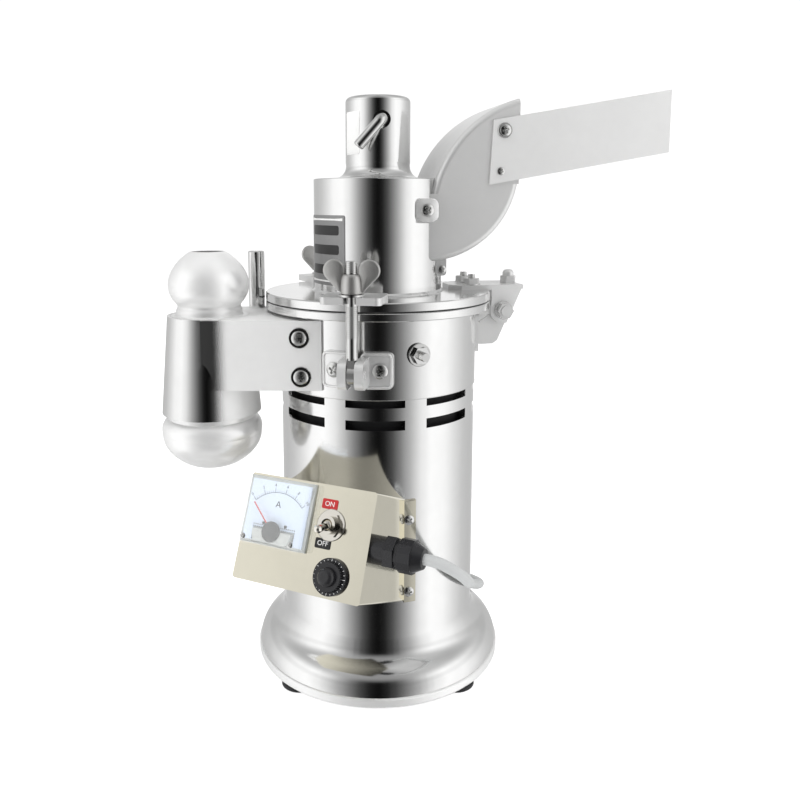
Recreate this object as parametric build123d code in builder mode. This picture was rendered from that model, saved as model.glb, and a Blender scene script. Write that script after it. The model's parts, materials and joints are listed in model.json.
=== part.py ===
"""Bench lab mill: an upright hammer mill with a tied-bag discharge and a half-moon feed hopper.

Millimetres. The origin is on the motor axis at the bench, +Z up. The front of the mill faces -Y.
An azimuth is measured from the front, positive towards the right hand side.
"""
import os
from math import cos, pi, radians, sin, sqrt, tan

from build123d import *

os.makedirs("parts", exist_ok=True)

# ---- driving dimensions -------------------------------------------------------------------
# heights above the bench
foot_height = 4.0
rim_top = 11.2
flare_top = 44.2
housing_top = 221.7
flange_bottom = 278.5
flange_top = 284.2
gasket_thickness = 1.15
lid_bottom = 285.4
lid_top = 291.4
feed_top = 375.5
neck_top = 435.8

# radii about the motor axis
body_radius = 75.0
body_wall = 2.0
rim_radius = 96.2
chamber_radius = 75.5
chamber_bore = 69.0
flange_radius = 86.0
feed_radius = 48.9
feed_wall = 2.0
neck_radius = 24.5
shaft_radius = 4.0

# azimuths
hinge_azimuth = 100.5
front_clamp_azimuth = -10.9
clamp_azimuths = {"front": front_clamp_azimuth, "rear": 2 * hinge_azimuth - front_clamp_azimuth}
box_azimuth = -24.9
vent_azimuth = -1.5

# discharge
outlet_x = -124.0
outlet_y = -33.0
outlet_top = 276.4
outlet_bottom = 204.5
outlet_top_radius = 30.5
outlet_bottom_radius = 36.3
duct_front = -66.0
duct_back = 12.0
duct_bottom = 226.6
duct_end = -39.5
sheet = 2.5

# hinge and clamps
pivot_reach = 95.7
pivot_height = 275.1
hinge_pin_radius = 4.0
clamp_reach = 92.0
clamp_pin_height = 243.3
clamp_pin_radius = 3.0
clamp_bolt_radius = 4.0
running_gap = 0.08

# hopper and feed tray, across the hinge direction
hopper_front = 38.0
hopper_back = -30.0
hopper_sheet = 2.0
tray_sheet = 1.5

# control box
panel_width = 96.6
panel_slant = 71.3
panel_reach = 118.3
panel_height = 137.6
panel_pitch = 23.66
box_sheet = 1.5

cord_radius = 3.75


# ---- placing helpers ----------------------------------------------------------------------
def outward(azimuth):
    """Unit vector pointing away from the motor axis at an azimuth."""
    return Vector(sin(radians(azimuth)), -cos(radians(azimuth)), 0)


def wall_plane(azimuth, reach=0.0, height=0.0):
    """Upright plane facing outwards: local x runs to the right seen from outside, local y up."""
    out = outward(azimuth)
    origin = out * reach + Vector(0, 0, height)
    return Plane(origin=origin, x_dir=Vector(-out.Y, out.X, 0), z_dir=out)


def side_plane(azimuth, side=0.0):
    """Upright plane through the motor axis: local x runs outwards, local y up, normal to the left."""
    out = outward(azimuth)
    normal = out.cross(Vector(0, 0, 1))
    return Plane(origin=normal * side, x_dir=out, z_dir=normal)


def save(piece, label):
    """Name a finished piece and write it."""
    piece.part.label = label
    export_step(piece.part, f"parts/{label}.step")


def ring(outer, inner, bottom, top):
    """Plain ring about the motor axis."""
    with BuildPart() as piece:
        with BuildSketch(Plane.XY.offset(bottom)):
            Circle(outer)
            Circle(inner, mode=Mode.SUBTRACT)
        extrude(amount=top - bottom)
    return piece


# ---- base and motor housing ---------------------------------------------------------------
vent_rows = [(199.9, 206.9), (216.0, housing_top + 1)]
vent_count = 8
vent_arc = 32.5
flare_reach = 95.0

with BuildPart() as motor_housing:
    with BuildSketch(Plane.XZ):
        with BuildLine():
            inner_radius = body_radius - body_wall
            Polyline((body_radius, flare_top), (body_radius, housing_top), (inner_radius, housing_top),
                     (inner_radius, flare_top - 1.2))
            middle = ((body_radius + flare_reach) / 2, (flare_top + rim_top) / 2)
            upper = TangentArc((body_radius, flare_top), middle, tangent=(0, -1))
            TangentArc(middle, (flare_reach, rim_top), tangent=upper % 1)
            Line((flare_reach, rim_top), (flare_reach - 3, rim_top))
            inner_middle = (middle[0] - 2.4, middle[1] - 0.6)
            inner_upper = TangentArc((inner_radius, flare_top - 1.2), inner_middle, tangent=(0, -1))
            TangentArc(inner_middle, (flare_reach - 3, rim_top), tangent=inner_upper % 1)
        make_face()
    revolve(axis=Axis.Z)
    for row_bottom, row_top in vent_rows:
        for slot in range(vent_count):
            start = vent_azimuth - vent_arc / 2 + slot * 360 / vent_count
            with BuildSketch(side_plane(start)):
                with Locations((body_radius, (row_bottom + row_top) / 2)):
                    Rectangle(12, row_top - row_bottom)
            revolve(axis=Axis.Z, revolution_arc=vent_arc, mode=Mode.SUBTRACT)
save(motor_housing, "motor_housing")

plate_top = 7.0
plate_radius = 89.8
with BuildPart() as base_rim:
    with BuildSketch(Plane.XZ):
        with BuildLine():
            Polyline((rim_radius, foot_height), (rim_radius, rim_top), (86, rim_top), (86, plate_top),
                     (plate_radius + 0.2, plate_top), (plate_radius + 0.2, foot_height), close=True)
        make_face()
    revolve(axis=Axis.Z)
    circles = base_rim.edges().filter_by(GeomType.CIRCLE)
    fillet(circles.filter_by(lambda edge: edge.radius > rim_radius - 0.1), 1.4)
save(base_rim, "base_rim")

with BuildPart() as base_plate:
    with BuildSketch(Plane.XY.offset(foot_height)):
        Circle(plate_radius)
        with PolarLocations(48, 6):
            Circle(9, mode=Mode.SUBTRACT)
    extrude(amount=plate_top - foot_height)
save(base_plate, "base_plate")

foot_places = {"front_right": 45, "rear_right": 135, "rear_left": 225, "front_left": 315}
foot_reach = 82.0
for foot_name, foot_azimuth in foot_places.items():
    with BuildPart() as rubber_foot:
        with BuildSketch(Plane(origin=outward(foot_azimuth) * foot_reach)):
            Circle(8.2)
        extrude(amount=foot_height, taper=-6)
    save(rubber_foot, f"rubber_foot_{foot_name}")

# ---- motor: bearings, stator and windings -------------------------------------------------
bearing_radius = 11.0
bearing_height = 7.0
lower_bearing_bottom = 46.0
upper_bearing_bottom = 209.0
for bearing_name, bottom in {"lower": lower_bearing_bottom, "upper": upper_bearing_bottom}.items():
    bearing = ring(bearing_radius, shaft_radius + running_gap, bottom, bottom + bearing_height)
    save(bearing, f"{bearing_name}_bearing")

with BuildPart() as lower_bracket:
    with BuildSketch(Plane.XY.offset(44)):
        Circle(17)
        with PolarLocations(38, 3, start_angle=90):
            Rectangle(74, 14)
        Circle(body_radius - body_wall - 0.02, mode=Mode.INTERSECT)
    extrude(amount=9)
    with BuildSketch(Plane.XY.offset(lower_bearing_bottom)):
        Circle(bearing_radius + 0.02)
    extrude(amount=20, mode=Mode.SUBTRACT)
    with BuildSketch(Plane.XY.offset(40)):
        Circle(7.5)
    extrude(amount=20, mode=Mode.SUBTRACT)
save(lower_bracket, "lower_bearing_bracket")

stator_bottom, stator_top = 95.0, 150.0
stator_bore = 36.0
with BuildPart() as stator_core:
    with BuildSketch(Plane.XY.offset(stator_bottom)):
        Circle(60)
        with PolarLocations(64, 4, start_angle=45):
            Rectangle(24, 18)
        Circle(body_radius - body_wall - 0.02, mode=Mode.INTERSECT)
        Circle(stator_bore, mode=Mode.SUBTRACT)
        with PolarLocations(41, 4, start_angle=0):
            Rectangle(16, 9, mode=Mode.SUBTRACT)
    extrude(amount=stator_top - stator_bottom)
save(stator_core, "stator_core")

winding_height = 13.0
winding_places = {"lower": stator_bottom - winding_height, "upper": stator_top}
for winding_name, bottom in winding_places.items():
    with BuildPart() as winding:
        with BuildSketch(Plane.XZ):
            with Locations((47, bottom + winding_height / 2)):
                RectangleRounded(18, winding_height, 4)
        revolve(axis=Axis.Z)
    save(winding, f"{winding_name}_winding")

# ---- rotor --------------------------------------------------------------------------------
shaft_collar_radius = 6.0
commutator_bottom, commutator_height, commutator_radius = 60.0, 18.0, 16.0
hub_bottom, hub_top = 233.0, 250.0
with BuildPart() as rotor_shaft:
    with BuildSketch(Plane.XZ):
        with BuildLine():
            lower_seat = lower_bearing_bottom + bearing_height + 0.5
            upper_seat = upper_bearing_bottom - 0.5
            Polyline((0, 42), (shaft_radius, 42), (shaft_radius, lower_seat),
                     (shaft_collar_radius, lower_seat), (shaft_collar_radius, upper_seat),
                     (shaft_radius, upper_seat), (shaft_radius, 258), (0, 258), close=True)
        make_face()
    revolve(axis=Axis.Z)
    with BuildSketch(Plane.XY.offset(commutator_bottom)):
        Circle(commutator_radius)
    extrude(amount=commutator_height)
save(rotor_shaft, "rotor_shaft")

with BuildPart() as armature_core:
    with BuildSketch(Plane.XY.offset(stator_bottom)):
        Circle(stator_bore - 1)
        with PolarLocations(stator_bore - 4, 12):
            Rectangle(9, 2.4, mode=Mode.SUBTRACT)
        Circle(shaft_collar_radius, mode=Mode.SUBTRACT)
    extrude(amount=stator_top - stator_bottom)
save(armature_core, "armature_core")

with BuildPart() as cooling_fan:
    with BuildSketch(Plane.XY.offset(184)):
        Circle(60)
        Circle(shaft_collar_radius, mode=Mode.SUBTRACT)
    extrude(amount=2)
    with BuildSketch(Plane.XY.offset(186)):
        Circle(13)
        Circle(shaft_collar_radius, mode=Mode.SUBTRACT)
        with PolarLocations(38, 10):
            Rectangle(38, 2, rotation=22)
    extrude(amount=14)
save(cooling_fan, "cooling_fan")

hammer_reach = 60.0
with BuildPart() as hammer_hub:
    with BuildSketch(Plane.XY.offset(hub_bottom)):
        Circle(17)
        Circle(shaft_radius, mode=Mode.SUBTRACT)
    extrude(amount=4)
    with BuildSketch(Plane.XY.offset(hub_bottom + 4)):
        Circle(9)
        Circle(shaft_radius, mode=Mode.SUBTRACT)
    extrude(amount=hub_top - hub_bottom - 4)
    with BuildSketch(Plane.XY.offset(hub_top)):
        RegularPolygon(9, 6)
        Circle(shaft_radius, mode=Mode.SUBTRACT)
    extrude(amount=6)
save(hammer_hub, "hammer_hub")

hammer_levels = {"lower": (hub_bottom + 4, 30), "upper": (hub_bottom + 8.5, 120)}
for hammer_name, (bottom, turn) in hammer_levels.items():
    with BuildPart() as hammer_bar:
        with BuildSketch(Plane.XY.offset(bottom).rotated((0, 0, turn))):
            Rectangle(2 * hammer_reach, 16)
            Circle(14)
            with Locations((hammer_reach - 8, 8), (8 - hammer_reach, -8)):
                Rectangle(17, 6, rotation=12, mode=Mode.SUBTRACT)
            Circle(9, mode=Mode.SUBTRACT)
        extrude(amount=4.5)
    save(hammer_bar, f"{hammer_name}_hammer_bar")

# ---- grinding chamber ---------------------------------------------------------------------
chamber_floor = 226.7
port_arc = (-95.0, -37.0)
with BuildPart() as chamber_housing:
    with BuildSketch(Plane.XZ):
        with BuildLine():
            bearing_top = upper_bearing_bottom + bearing_height
            Polyline((shaft_radius + 1, bearing_top), (bearing_radius + 0.02, bearing_top),
                     (bearing_radius + 0.02, 206), (17, 206), (17, housing_top),
                     (chamber_radius, housing_top), (chamber_radius, flange_bottom),
                     (flange_radius, flange_bottom), (flange_radius, flange_top),
                     (chamber_bore, flange_top), (chamber_bore, chamber_floor),
                     (shaft_radius + 1, chamber_floor), close=True)
        make_face()
    revolve(axis=Axis.Z)
    circles = chamber_housing.edges().filter_by(GeomType.CIRCLE)
    chamfer(circles.filter_by(lambda edge: edge.radius > flange_radius - 0.1), 0.5)
    with BuildSketch(side_plane(port_arc[0])):
        with Locations((chamber_radius, (231 + 272) / 2)):
            Rectangle(20, 272 - 231)
    revolve(axis=Axis.Z, revolution_arc=port_arc[1] - port_arc[0], mode=Mode.SUBTRACT)
save(chamber_housing, "chamber_housing")

screen_arc = (-104.0, -30.0)
liner_bottom, liner_top = chamber_floor, 276.0
liner_radius = chamber_bore - 0.03
tooth_root, tooth_tip = 65.8, 63.6
tooth_count = 40
liner_start = screen_arc[1] + 0.5
liner_span = 360 - (screen_arc[1] - screen_arc[0]) - 1.0


def on_circle(radius, azimuth):
    """Point of the XY plane at a radius and an azimuth."""
    return (radius * sin(radians(azimuth)), -radius * cos(radians(azimuth)))


with BuildPart() as toothed_liner:
    with BuildSketch(Plane.XY.offset(liner_bottom)):
        with BuildLine():
            pitch = liner_span / tooth_count
            teeth = []
            for tooth in range(tooth_count):
                azimuth = liner_start + tooth * pitch
                teeth += [on_circle(tooth_root, azimuth), on_circle(tooth_tip, azimuth + 0.75 * pitch)]
            teeth.append(on_circle(tooth_root, liner_start + liner_span))
            toothed_edge = Polyline(*teeth)
            back = ThreePointArc(on_circle(liner_radius, liner_start + liner_span),
                                 on_circle(liner_radius, liner_start + liner_span / 2),
                                 on_circle(liner_radius, liner_start))
            Line(toothed_edge @ 1, back @ 0)
            Line(back @ 1, toothed_edge @ 0)
        make_face()
    extrude(amount=liner_top - liner_bottom)
save(toothed_liner, "toothed_liner")

screen_thickness = 1.6
screen_columns = 13
screen_rows = 3
with BuildPart() as sieve_screen:
    with BuildSketch(side_plane(screen_arc[0])):
        with Locations((liner_radius - screen_thickness / 2, (liner_bottom + liner_top) / 2)):
            Rectangle(screen_thickness, liner_top - liner_bottom)
    revolve(axis=Axis.Z, revolution_arc=screen_arc[1] - screen_arc[0])
    screen_middle = (screen_arc[0] + screen_arc[1]) / 2
    for row in range(screen_rows):
        row_height = 238.5 + row * 13
        for column in range(screen_columns):
            azimuth = screen_middle + (column - (screen_columns - 1) / 2) * 4.6
            with BuildSketch(wall_plane(azimuth, chamber_bore - 6, row_height)):
                Rectangle(2.0, 9.0, rotation=18)
            extrude(amount=8, mode=Mode.SUBTRACT)
save(sieve_screen, "sieve_screen")

gasket = ring(flange_radius - 0.7, chamber_bore + 0.5, flange_top, flange_top + gasket_thickness)
save(gasket, "chamber_gasket")

with BuildPart() as chamber_stud:
    with BuildSketch(wall_plane(21.9, chamber_radius - 1.5, 253.4)):
        Circle(2.9)
    extrude(amount=13)
    with BuildSketch(wall_plane(21.9, chamber_radius, 253.4)):
        Circle(7.2)
    extrude(amount=1.2)
    with BuildSketch(wall_plane(21.9, chamber_radius + 1.2, 253.4)):
        RegularPolygon(6.4, 6)
    extrude(amount=4.6)
    with BuildSketch(Plane.XY.offset(220)):
        Circle(chamber_radius)
    extrude(amount=60, mode=Mode.SUBTRACT)
save(chamber_stud, "chamber_stud")

# ---- discharge ----------------------------------------------------------------------------
outlet_slope = (outlet_bottom_radius - outlet_top_radius) / (outlet_top - outlet_bottom)


def outlet_profile(inset):
    """Half section of the tapered discharge cylinder, inset from its outside."""
    return [(0, outlet_bottom), (outlet_bottom_radius - inset, outlet_bottom),
            (outlet_top_radius - inset, outlet_top), (0, outlet_top)]

outlet_plane = Plane(origin=(outlet_x, outlet_y, 0), x_dir=(1, 0, 0), z_dir=(0, -1, 0))
outlet_axis = Axis((outlet_x, outlet_y, 0), (0, 0, 1))
with BuildPart() as discharge_body:
    with BuildSketch(outlet_plane):
        Polygon(*outlet_profile(0), align=None)
    revolve(axis=outlet_axis)
    with BuildSketch(Plane.XY.offset(duct_bottom)):
        with BuildLine():
            Polyline((outlet_x, duct_front), (duct_end, duct_front), (duct_end, duct_back),
                     (outlet_x, duct_back), close=True)
        make_face()
    extrude(amount=outlet_top - duct_bottom)
    with BuildSketch(Plane.XY.offset(duct_bottom + sheet)):
        with BuildLine():
            Polyline((outlet_x, duct_front + sheet), (duct_end + 1, duct_front + sheet),
                     (duct_end + 1, duct_back - sheet), (outlet_x, duct_back - sheet), close=True)
        make_face()
    extrude(amount=outlet_top - duct_bottom - 2 * sheet, mode=Mode.SUBTRACT)
    with BuildSketch(outlet_plane):
        Polygon(*outlet_profile(sheet), align=None)
    revolve(axis=outlet_axis, mode=Mode.SUBTRACT)
    with BuildSketch(Plane.XY.offset(outlet_bottom)):
        Circle(chamber_radius)
    extrude(amount=100, mode=Mode.SUBTRACT)
save(discharge_body, "discharge_body")

air_ring_radius = 24.1
with BuildPart() as air_outlet_neck:
    with BuildSketch(outlet_plane):
        with BuildLine():
            outside = Polyline((air_ring_radius - 4, outlet_top), (air_ring_radius, outlet_top),
                               (air_ring_radius, outlet_top + 4), (22.6, outlet_top + 6.5),
                               (23.4, outlet_top + 8.2))
            bulb = Spline((23.4, outlet_top + 8.2), (30.5, outlet_top + 23), (24.6, outlet_top + 39.5),
                          (12.8, outlet_top + 46.4), tangents=[(0.9, 0.35), (-1, 0.06)])
            inside = Spline((11, outlet_top + 44.8), (22.8, outlet_top + 37.5), (28, outlet_top + 23),
                            (20.4, outlet_top + 8), tangents=[(1, -0.06), (-0.6, -1)])
            Line(bulb @ 1, inside @ 0)
            Line(inside @ 1, outside @ 0)
        make_face()
    revolve(axis=outlet_axis)
save(air_outlet_neck, "air_outlet_neck")

powder_groove_radius = 32.3
bulb_height = 189.0
bulb_radius = 36.6
bulb_depth = 27.6
mouth_radius = 14.0


def bulb_point(radius, inset):
    """Point of the lower bulb's elliptical outline at a radius from its axis."""
    drop = (bulb_depth - inset) * sqrt(1 - (radius / (bulb_radius - inset)) ** 2)
    return (radius, bulb_height - drop)


with BuildPart() as powder_outlet_neck:
    with BuildSketch(outlet_plane):
        with BuildLine():
            collar = Polyline((powder_groove_radius - 2.2, outlet_bottom),
                              (powder_groove_radius, outlet_bottom),
                              (powder_groove_radius, outlet_bottom - 4))
            shoulder = ThreePointArc(collar @ 1, (36.0, bulb_height + 7.0), (bulb_radius, bulb_height))
            bowl = Spline(shoulder @ 1, bulb_point(31.5, 0), bulb_point(23, 0), bulb_point(mouth_radius, 0),
                          tangents=[(0, -1), (-1, -0.32)])
            bowl_inside = Spline(bulb_point(mouth_radius - 1.5, 2), bulb_point(22, 2), bulb_point(29.5, 2),
                                 (bulb_radius - 2.2, bulb_height), tangents=[(1, 0.32), (0, 1)])
            shoulder_inside = ThreePointArc(bowl_inside @ 1, (33.6, bulb_height + 6.5),
                                            (powder_groove_radius - 2.2, outlet_bottom - 4))
            Line(bowl @ 1, bowl_inside @ 0)
            Line(shoulder_inside @ 1, collar @ 0)
        make_face()
    revolve(axis=outlet_axis)
save(powder_outlet_neck, "powder_outlet_neck")

post_x, post_y = -94.5, 4.5
with BuildPart() as bag_post:
    with BuildSketch(Plane.XY.offset(outlet_top)):
        with Locations((post_x, post_y)):
            Circle(6.3)
    extrude(amount=44.5)
    chamfer(bag_post.faces().sort_by(Axis.Z)[-1].edges(), 0.8)
save(bag_post, "bag_post")

# ---- lid and feed cylinder ----------------------------------------------------------------
feed_hole_radius = 24.0
with BuildPart() as lid_plate:
    with BuildSketch(Plane.XY.offset(lid_bottom)):
        Circle(flange_radius)
        Circle(feed_hole_radius, mode=Mode.SUBTRACT)
    extrude(amount=lid_top - lid_bottom)
    top_rim = lid_plate.faces().sort_by(Axis.Z)[-1].edges().sort_by(SortBy.LENGTH)[-1]
    chamfer(top_rim, 0.7)
save(lid_plate, "lid_plate")

feed_bead = 1.8
throat = (324.0, 368.0)
with BuildPart() as feed_cylinder:
    with BuildSketch(Plane.XZ):
        with BuildLine():
            inside_radius = feed_radius - feed_wall
            Polyline((inside_radius, lid_top), (feed_radius + feed_bead, lid_top),
                     (feed_radius, lid_top + feed_bead), (feed_radius, feed_top), (0, feed_top),
                     (0, feed_top - 2.5), (inside_radius, feed_top - 2.5), close=True)
        make_face()
    revolve(axis=Axis.Z)
    fillet(feed_cylinder.faces().sort_by(Axis.Z)[-1].edges(), 0.8)
    with BuildSketch(side_plane(hinge_azimuth, hopper_back + 4)):
        with Locations((45, (throat[0] + throat[1]) / 2)):
            Rectangle(30, throat[1] - throat[0])
    extrude(amount=hopper_front - hopper_back - 8, mode=Mode.SUBTRACT)
save(feed_cylinder, "feed_cylinder")

lever_pivot = Vector(2.9, 0, 417.5)
lever_bore = 3.1
with BuildPart() as feed_neck:
    with BuildSketch(Plane.XZ):
        with BuildLine():
            foot = Line((32.5, feed_top), (32.5, feed_top + 0.6))
            flare = TangentArc(foot @ 1, (neck_radius, feed_top + 12), tangent=(-1, 0.12))
            rise = Line(flare @ 1, (neck_radius, neck_top - 4))
            crown = TangentArc(rise @ 1, (neck_radius - 4, neck_top), tangent=(0, 1))
            Polyline(crown @ 1, (0, neck_top), (0, neck_top - 3), (neck_radius - 3, neck_top - 3),
                     (neck_radius - 3, feed_top), foot @ 0)
        make_face()
    revolve(axis=Axis.Z)
    with BuildSketch(Plane(origin=(lever_pivot.X, -20, lever_pivot.Z), x_dir=(1, 0, 0), z_dir=(0, -1, 0))):
        Circle(6.4)
    extrude(amount=6.5)
    with BuildSketch(Plane(origin=(lever_pivot.X, -19, lever_pivot.Z), x_dir=(1, 0, 0), z_dir=(0, -1, 0))):
        Circle(lever_bore)
    extrude(amount=20, mode=Mode.SUBTRACT)
save(feed_neck, "feed_neck")

lever_radius = 4.0
lever_front = -34.0
lever_end = Vector(-14.5, lever_front, 397.5)
with BuildPart() as feed_lever:
    with BuildSketch(Plane(origin=(lever_pivot.X, -20, lever_pivot.Z), x_dir=(1, 0, 0), z_dir=(0, -1, 0))):
        Circle(lever_bore - running_gap)
    extrude(amount=8)
    with BuildLine() as lever_path:
        FilletPolyline((lever_pivot.X, -27.2, lever_pivot.Z),
                       (lever_pivot.X, lever_front - 0.5, lever_pivot.Z), lever_end, radius=3.2)
    with BuildSketch(Plane(origin=lever_path.line @ 0, z_dir=lever_path.line % 0)):
        Circle(lever_radius)
    sweep(path=lever_path.line, transition=Transition.ROUND)
    tip = feed_lever.faces().sort_by(Axis.Z)[0]
    fillet(tip.edges(), 1.6)
save(feed_lever, "feed_lever")

# ---- hopper and feed tray -----------------------------------------------------------------
hopper_mouth = 98.5
lug_height = 351.8


def hopper_outline(inset):
    """Side outline of the half-moon hopper, inset from its outside, run on past its mouth."""
    low = ThreePointArc((18, 316.1 + inset), (79.5 - 0.7 * inset, 335.5 + 0.7 * inset),
                        (hopper_mouth - inset, 371.5))
    high = ThreePointArc((hopper_mouth + 24, 436.6 - inset), (54.5 + 0.8 * inset, 406.2 - 0.6 * inset),
                         (33 + inset, 364.1))
    Polyline(low @ 1, (hopper_mouth + 24, 371.5), high @ 0)
    Polyline(high @ 1, (18, 364.1), low @ 0)


with BuildPart() as hopper:
    with BuildSketch(side_plane(hinge_azimuth, hopper_back)):
        with BuildLine():
            hopper_outline(0)
        make_face()
    extrude(amount=hopper_front - hopper_back)
    fillet(hopper.edges().filter_by(GeomType.CIRCLE), 4.5)
    with BuildSketch(side_plane(hinge_azimuth, hopper_back + hopper_sheet)):
        with BuildLine():
            hopper_outline(hopper_sheet)
        make_face()
    extrude(amount=hopper_front - hopper_back - 2 * hopper_sheet, mode=Mode.SUBTRACT)
    with BuildSketch(side_plane(hinge_azimuth, hopper_back - 5)):
        with Locations((hopper_mouth + 30, 400)):
            Rectangle(60, 120)
    extrude(amount=hopper_front - hopper_back + 10, mode=Mode.SUBTRACT)
    with BuildSketch(side_plane(hinge_azimuth, hopper_front - hopper_sheet)):
        with Locations((24.5, lug_height)):
            RectangleRounded(17, 17, 6)
        with Locations((29, lug_height)):
            RectangleRounded(10, 17, 1.5)
    extrude(amount=hopper_sheet + 7)
    with BuildSketch(side_plane(hinge_azimuth, 20)):
        with Locations((22, lug_height)):
            Rectangle(12, 16)
    extrude(amount=hopper_front - 20)
    with BuildSketch(Plane.XY.offset(300)):
        Circle(feed_radius)
    extrude(amount=feed_top - 300, mode=Mode.SUBTRACT)
save(hopper, "hopper")

tray_slope = 9.9
tray_start, tray_end = 75.5, 217.0
tray_height = 46.3
tray_low = 370.9
tray_rise = (tray_end - tray_start) * tan(radians(tray_slope))
with BuildPart() as feed_tray:
    tray_sides = {hopper_front + 0.05: 1, hopper_back - 0.05: -1}
    for place, direction in tray_sides.items():
        with BuildSketch(side_plane(hinge_azimuth, place)):
            with BuildLine():
                Polyline((tray_start, tray_low), (tray_end, tray_low + tray_rise),
                         (tray_end, tray_low + tray_rise + tray_height),
                         (tray_start + 2.5, tray_low + tray_height), close=True)
            make_face()
        extrude(amount=direction * tray_sheet)
    floor_start = hopper_mouth + 0.3
    floor_low = tray_low + (floor_start - tray_start) * tan(radians(tray_slope))
    with BuildSketch(side_plane(hinge_azimuth, hopper_back - 0.3)):
        with BuildLine():
            Polyline((floor_start, floor_low), (tray_end, tray_low + tray_rise),
                     (tray_end, tray_low + tray_rise + tray_sheet), (floor_start, floor_low + tray_sheet),
                     close=True)
        make_face()
    extrude(amount=hopper_front - hopper_back + 0.6)
save(feed_tray, "feed_tray")

# ---- hinge --------------------------------------------------------------------------------
bracket_inner, bracket_outer = 11.6, 14.6
arm_inner, arm_outer = 15.0, 18.0
knuckle_radius = 10.5
strap_top = 294.8


def gusset_outline():
    """Slanted outline of the hinge cheeks, from the chamber wall to the top of the arm."""
    Polyline((86.2, strap_top), (111.8, strap_top), (92.4, 250.6), (88.5, 248.2), (78.0, 248.2),
             (78.0, 266.0), (86.2, 271.4), close=True)


with BuildPart() as hinge_bracket:
    with BuildSketch(wall_plane(hinge_azimuth, 0, 257.5)):
        RectangleRounded(36, 30, 3)
    extrude(amount=90)
    with BuildSketch(Plane.XY.offset(200)):
        Circle(chamber_radius + 2.8)
    extrude(amount=120, mode=Mode.INTERSECT)
    for side in (-bracket_outer, bracket_inner):
        with BuildSketch(side_plane(hinge_azimuth, side)):
            with BuildLine():
                gusset_outline()
            make_face()
            with Locations((78, 257)):
                Rectangle(8, 17)
            with BuildSketch(mode=Mode.INTERSECT):
                with Locations((pivot_reach, pivot_height - 20)):
                    Rectangle(60, 40)
                with Locations((pivot_reach, pivot_height)):
                    Circle(knuckle_radius)
        extrude(amount=bracket_outer - bracket_inner)
    with BuildSketch(Plane.XY.offset(200)):
        Circle(chamber_radius)
    extrude(amount=120, mode=Mode.SUBTRACT)
    with BuildSketch(side_plane(hinge_azimuth, -40)):
        with Locations((pivot_reach, pivot_height)):
            Circle(hinge_pin_radius)
    extrude(amount=80, mode=Mode.SUBTRACT)
save(hinge_bracket, "hinge_bracket")

with BuildPart() as hinge_bolt:
    with BuildSketch(side_plane(hinge_azimuth, -arm_outer - 0.3)):
        with Locations((pivot_reach, pivot_height)):
            Circle(hinge_pin_radius)
    extrude(amount=2 * arm_outer + 8.6)
    with BuildSketch(side_plane(hinge_azimuth, -arm_outer - 5.3)):
        with Locations((pivot_reach, pivot_height)):
            RegularPolygon(6.6, 6)
    extrude(amount=5)
    with BuildSketch(side_plane(hinge_azimuth, arm_outer + 0.3)):
        with Locations((pivot_reach, pivot_height)):
            Circle(7.2)
    extrude(amount=1.2)
    with BuildSketch(side_plane(hinge_azimuth, arm_outer + 1.5)):
        with Locations((pivot_reach, pivot_height)):
            RegularPolygon(6.4, 6)
    extrude(amount=5.6)
save(hinge_bolt, "hinge_bolt")

with BuildPart() as hinge_strap:
    with BuildSketch(Plane.XY.offset(lid_top).rotated((0, 0, hinge_azimuth - 90))):
        with BuildLine():
            Polyline((54, -9), (62, -arm_outer), (111.8, -arm_outer), (111.8, arm_outer), (62, arm_outer),
                     (54, 9), close=True)
        make_face()
    extrude(amount=strap_top - lid_top)
    for side in (-arm_outer, arm_inner):
        with BuildSketch(side_plane(hinge_azimuth, side)):
            with BuildLine():
                gusset_outline()
            make_face()
            with BuildSketch(mode=Mode.INTERSECT):
                with Locations((pivot_reach, pivot_height + 20)):
                    Rectangle(60, 40)
                with Locations((pivot_reach, pivot_height)):
                    Circle(knuckle_radius)
        extrude(amount=arm_outer - arm_inner)
    with BuildSketch(side_plane(hinge_azimuth, -40)):
        with Locations((pivot_reach, pivot_height)):
            Circle(hinge_pin_radius + running_gap)
    extrude(amount=80, mode=Mode.SUBTRACT)
    with BuildSketch(Plane.XY.offset(strap_top).rotated((0, 0, hinge_azimuth - 90))):
        with Locations((71.8, -11), (71.8, 11)):
            RegularPolygon(6.4, 6)
    extrude(amount=5)
    with BuildSketch(Plane.XY.offset(strap_top).rotated((0, 0, hinge_azimuth - 90))):
        with Locations((105.5, 0)):
            RegularPolygon(6.4, 6)
    extrude(amount=5.5)
    with BuildSketch(Plane.XY.offset(strap_top + 5.5).rotated((0, 0, hinge_azimuth - 90))):
        with Locations((105.5, 0)):
            Circle(4.4)
    extrude(amount=5)
    fillet(hinge_strap.faces().sort_by(Axis.Z)[-1].edges(), 3)
save(hinge_strap, "hinge_strap")

# ---- swing bolt clamps --------------------------------------------------------------------
ear_inner, ear_outer = 2.9, 8.9
ear_reach = 99.5
eye_half = 2.5
tab_top = 296.4
washer_bottom = tab_top + 0.3
washer_top = washer_bottom + 1.4
nut_bottom = washer_top + 0.1
nut_top = 311.0
bolt_top = 320.2

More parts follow.
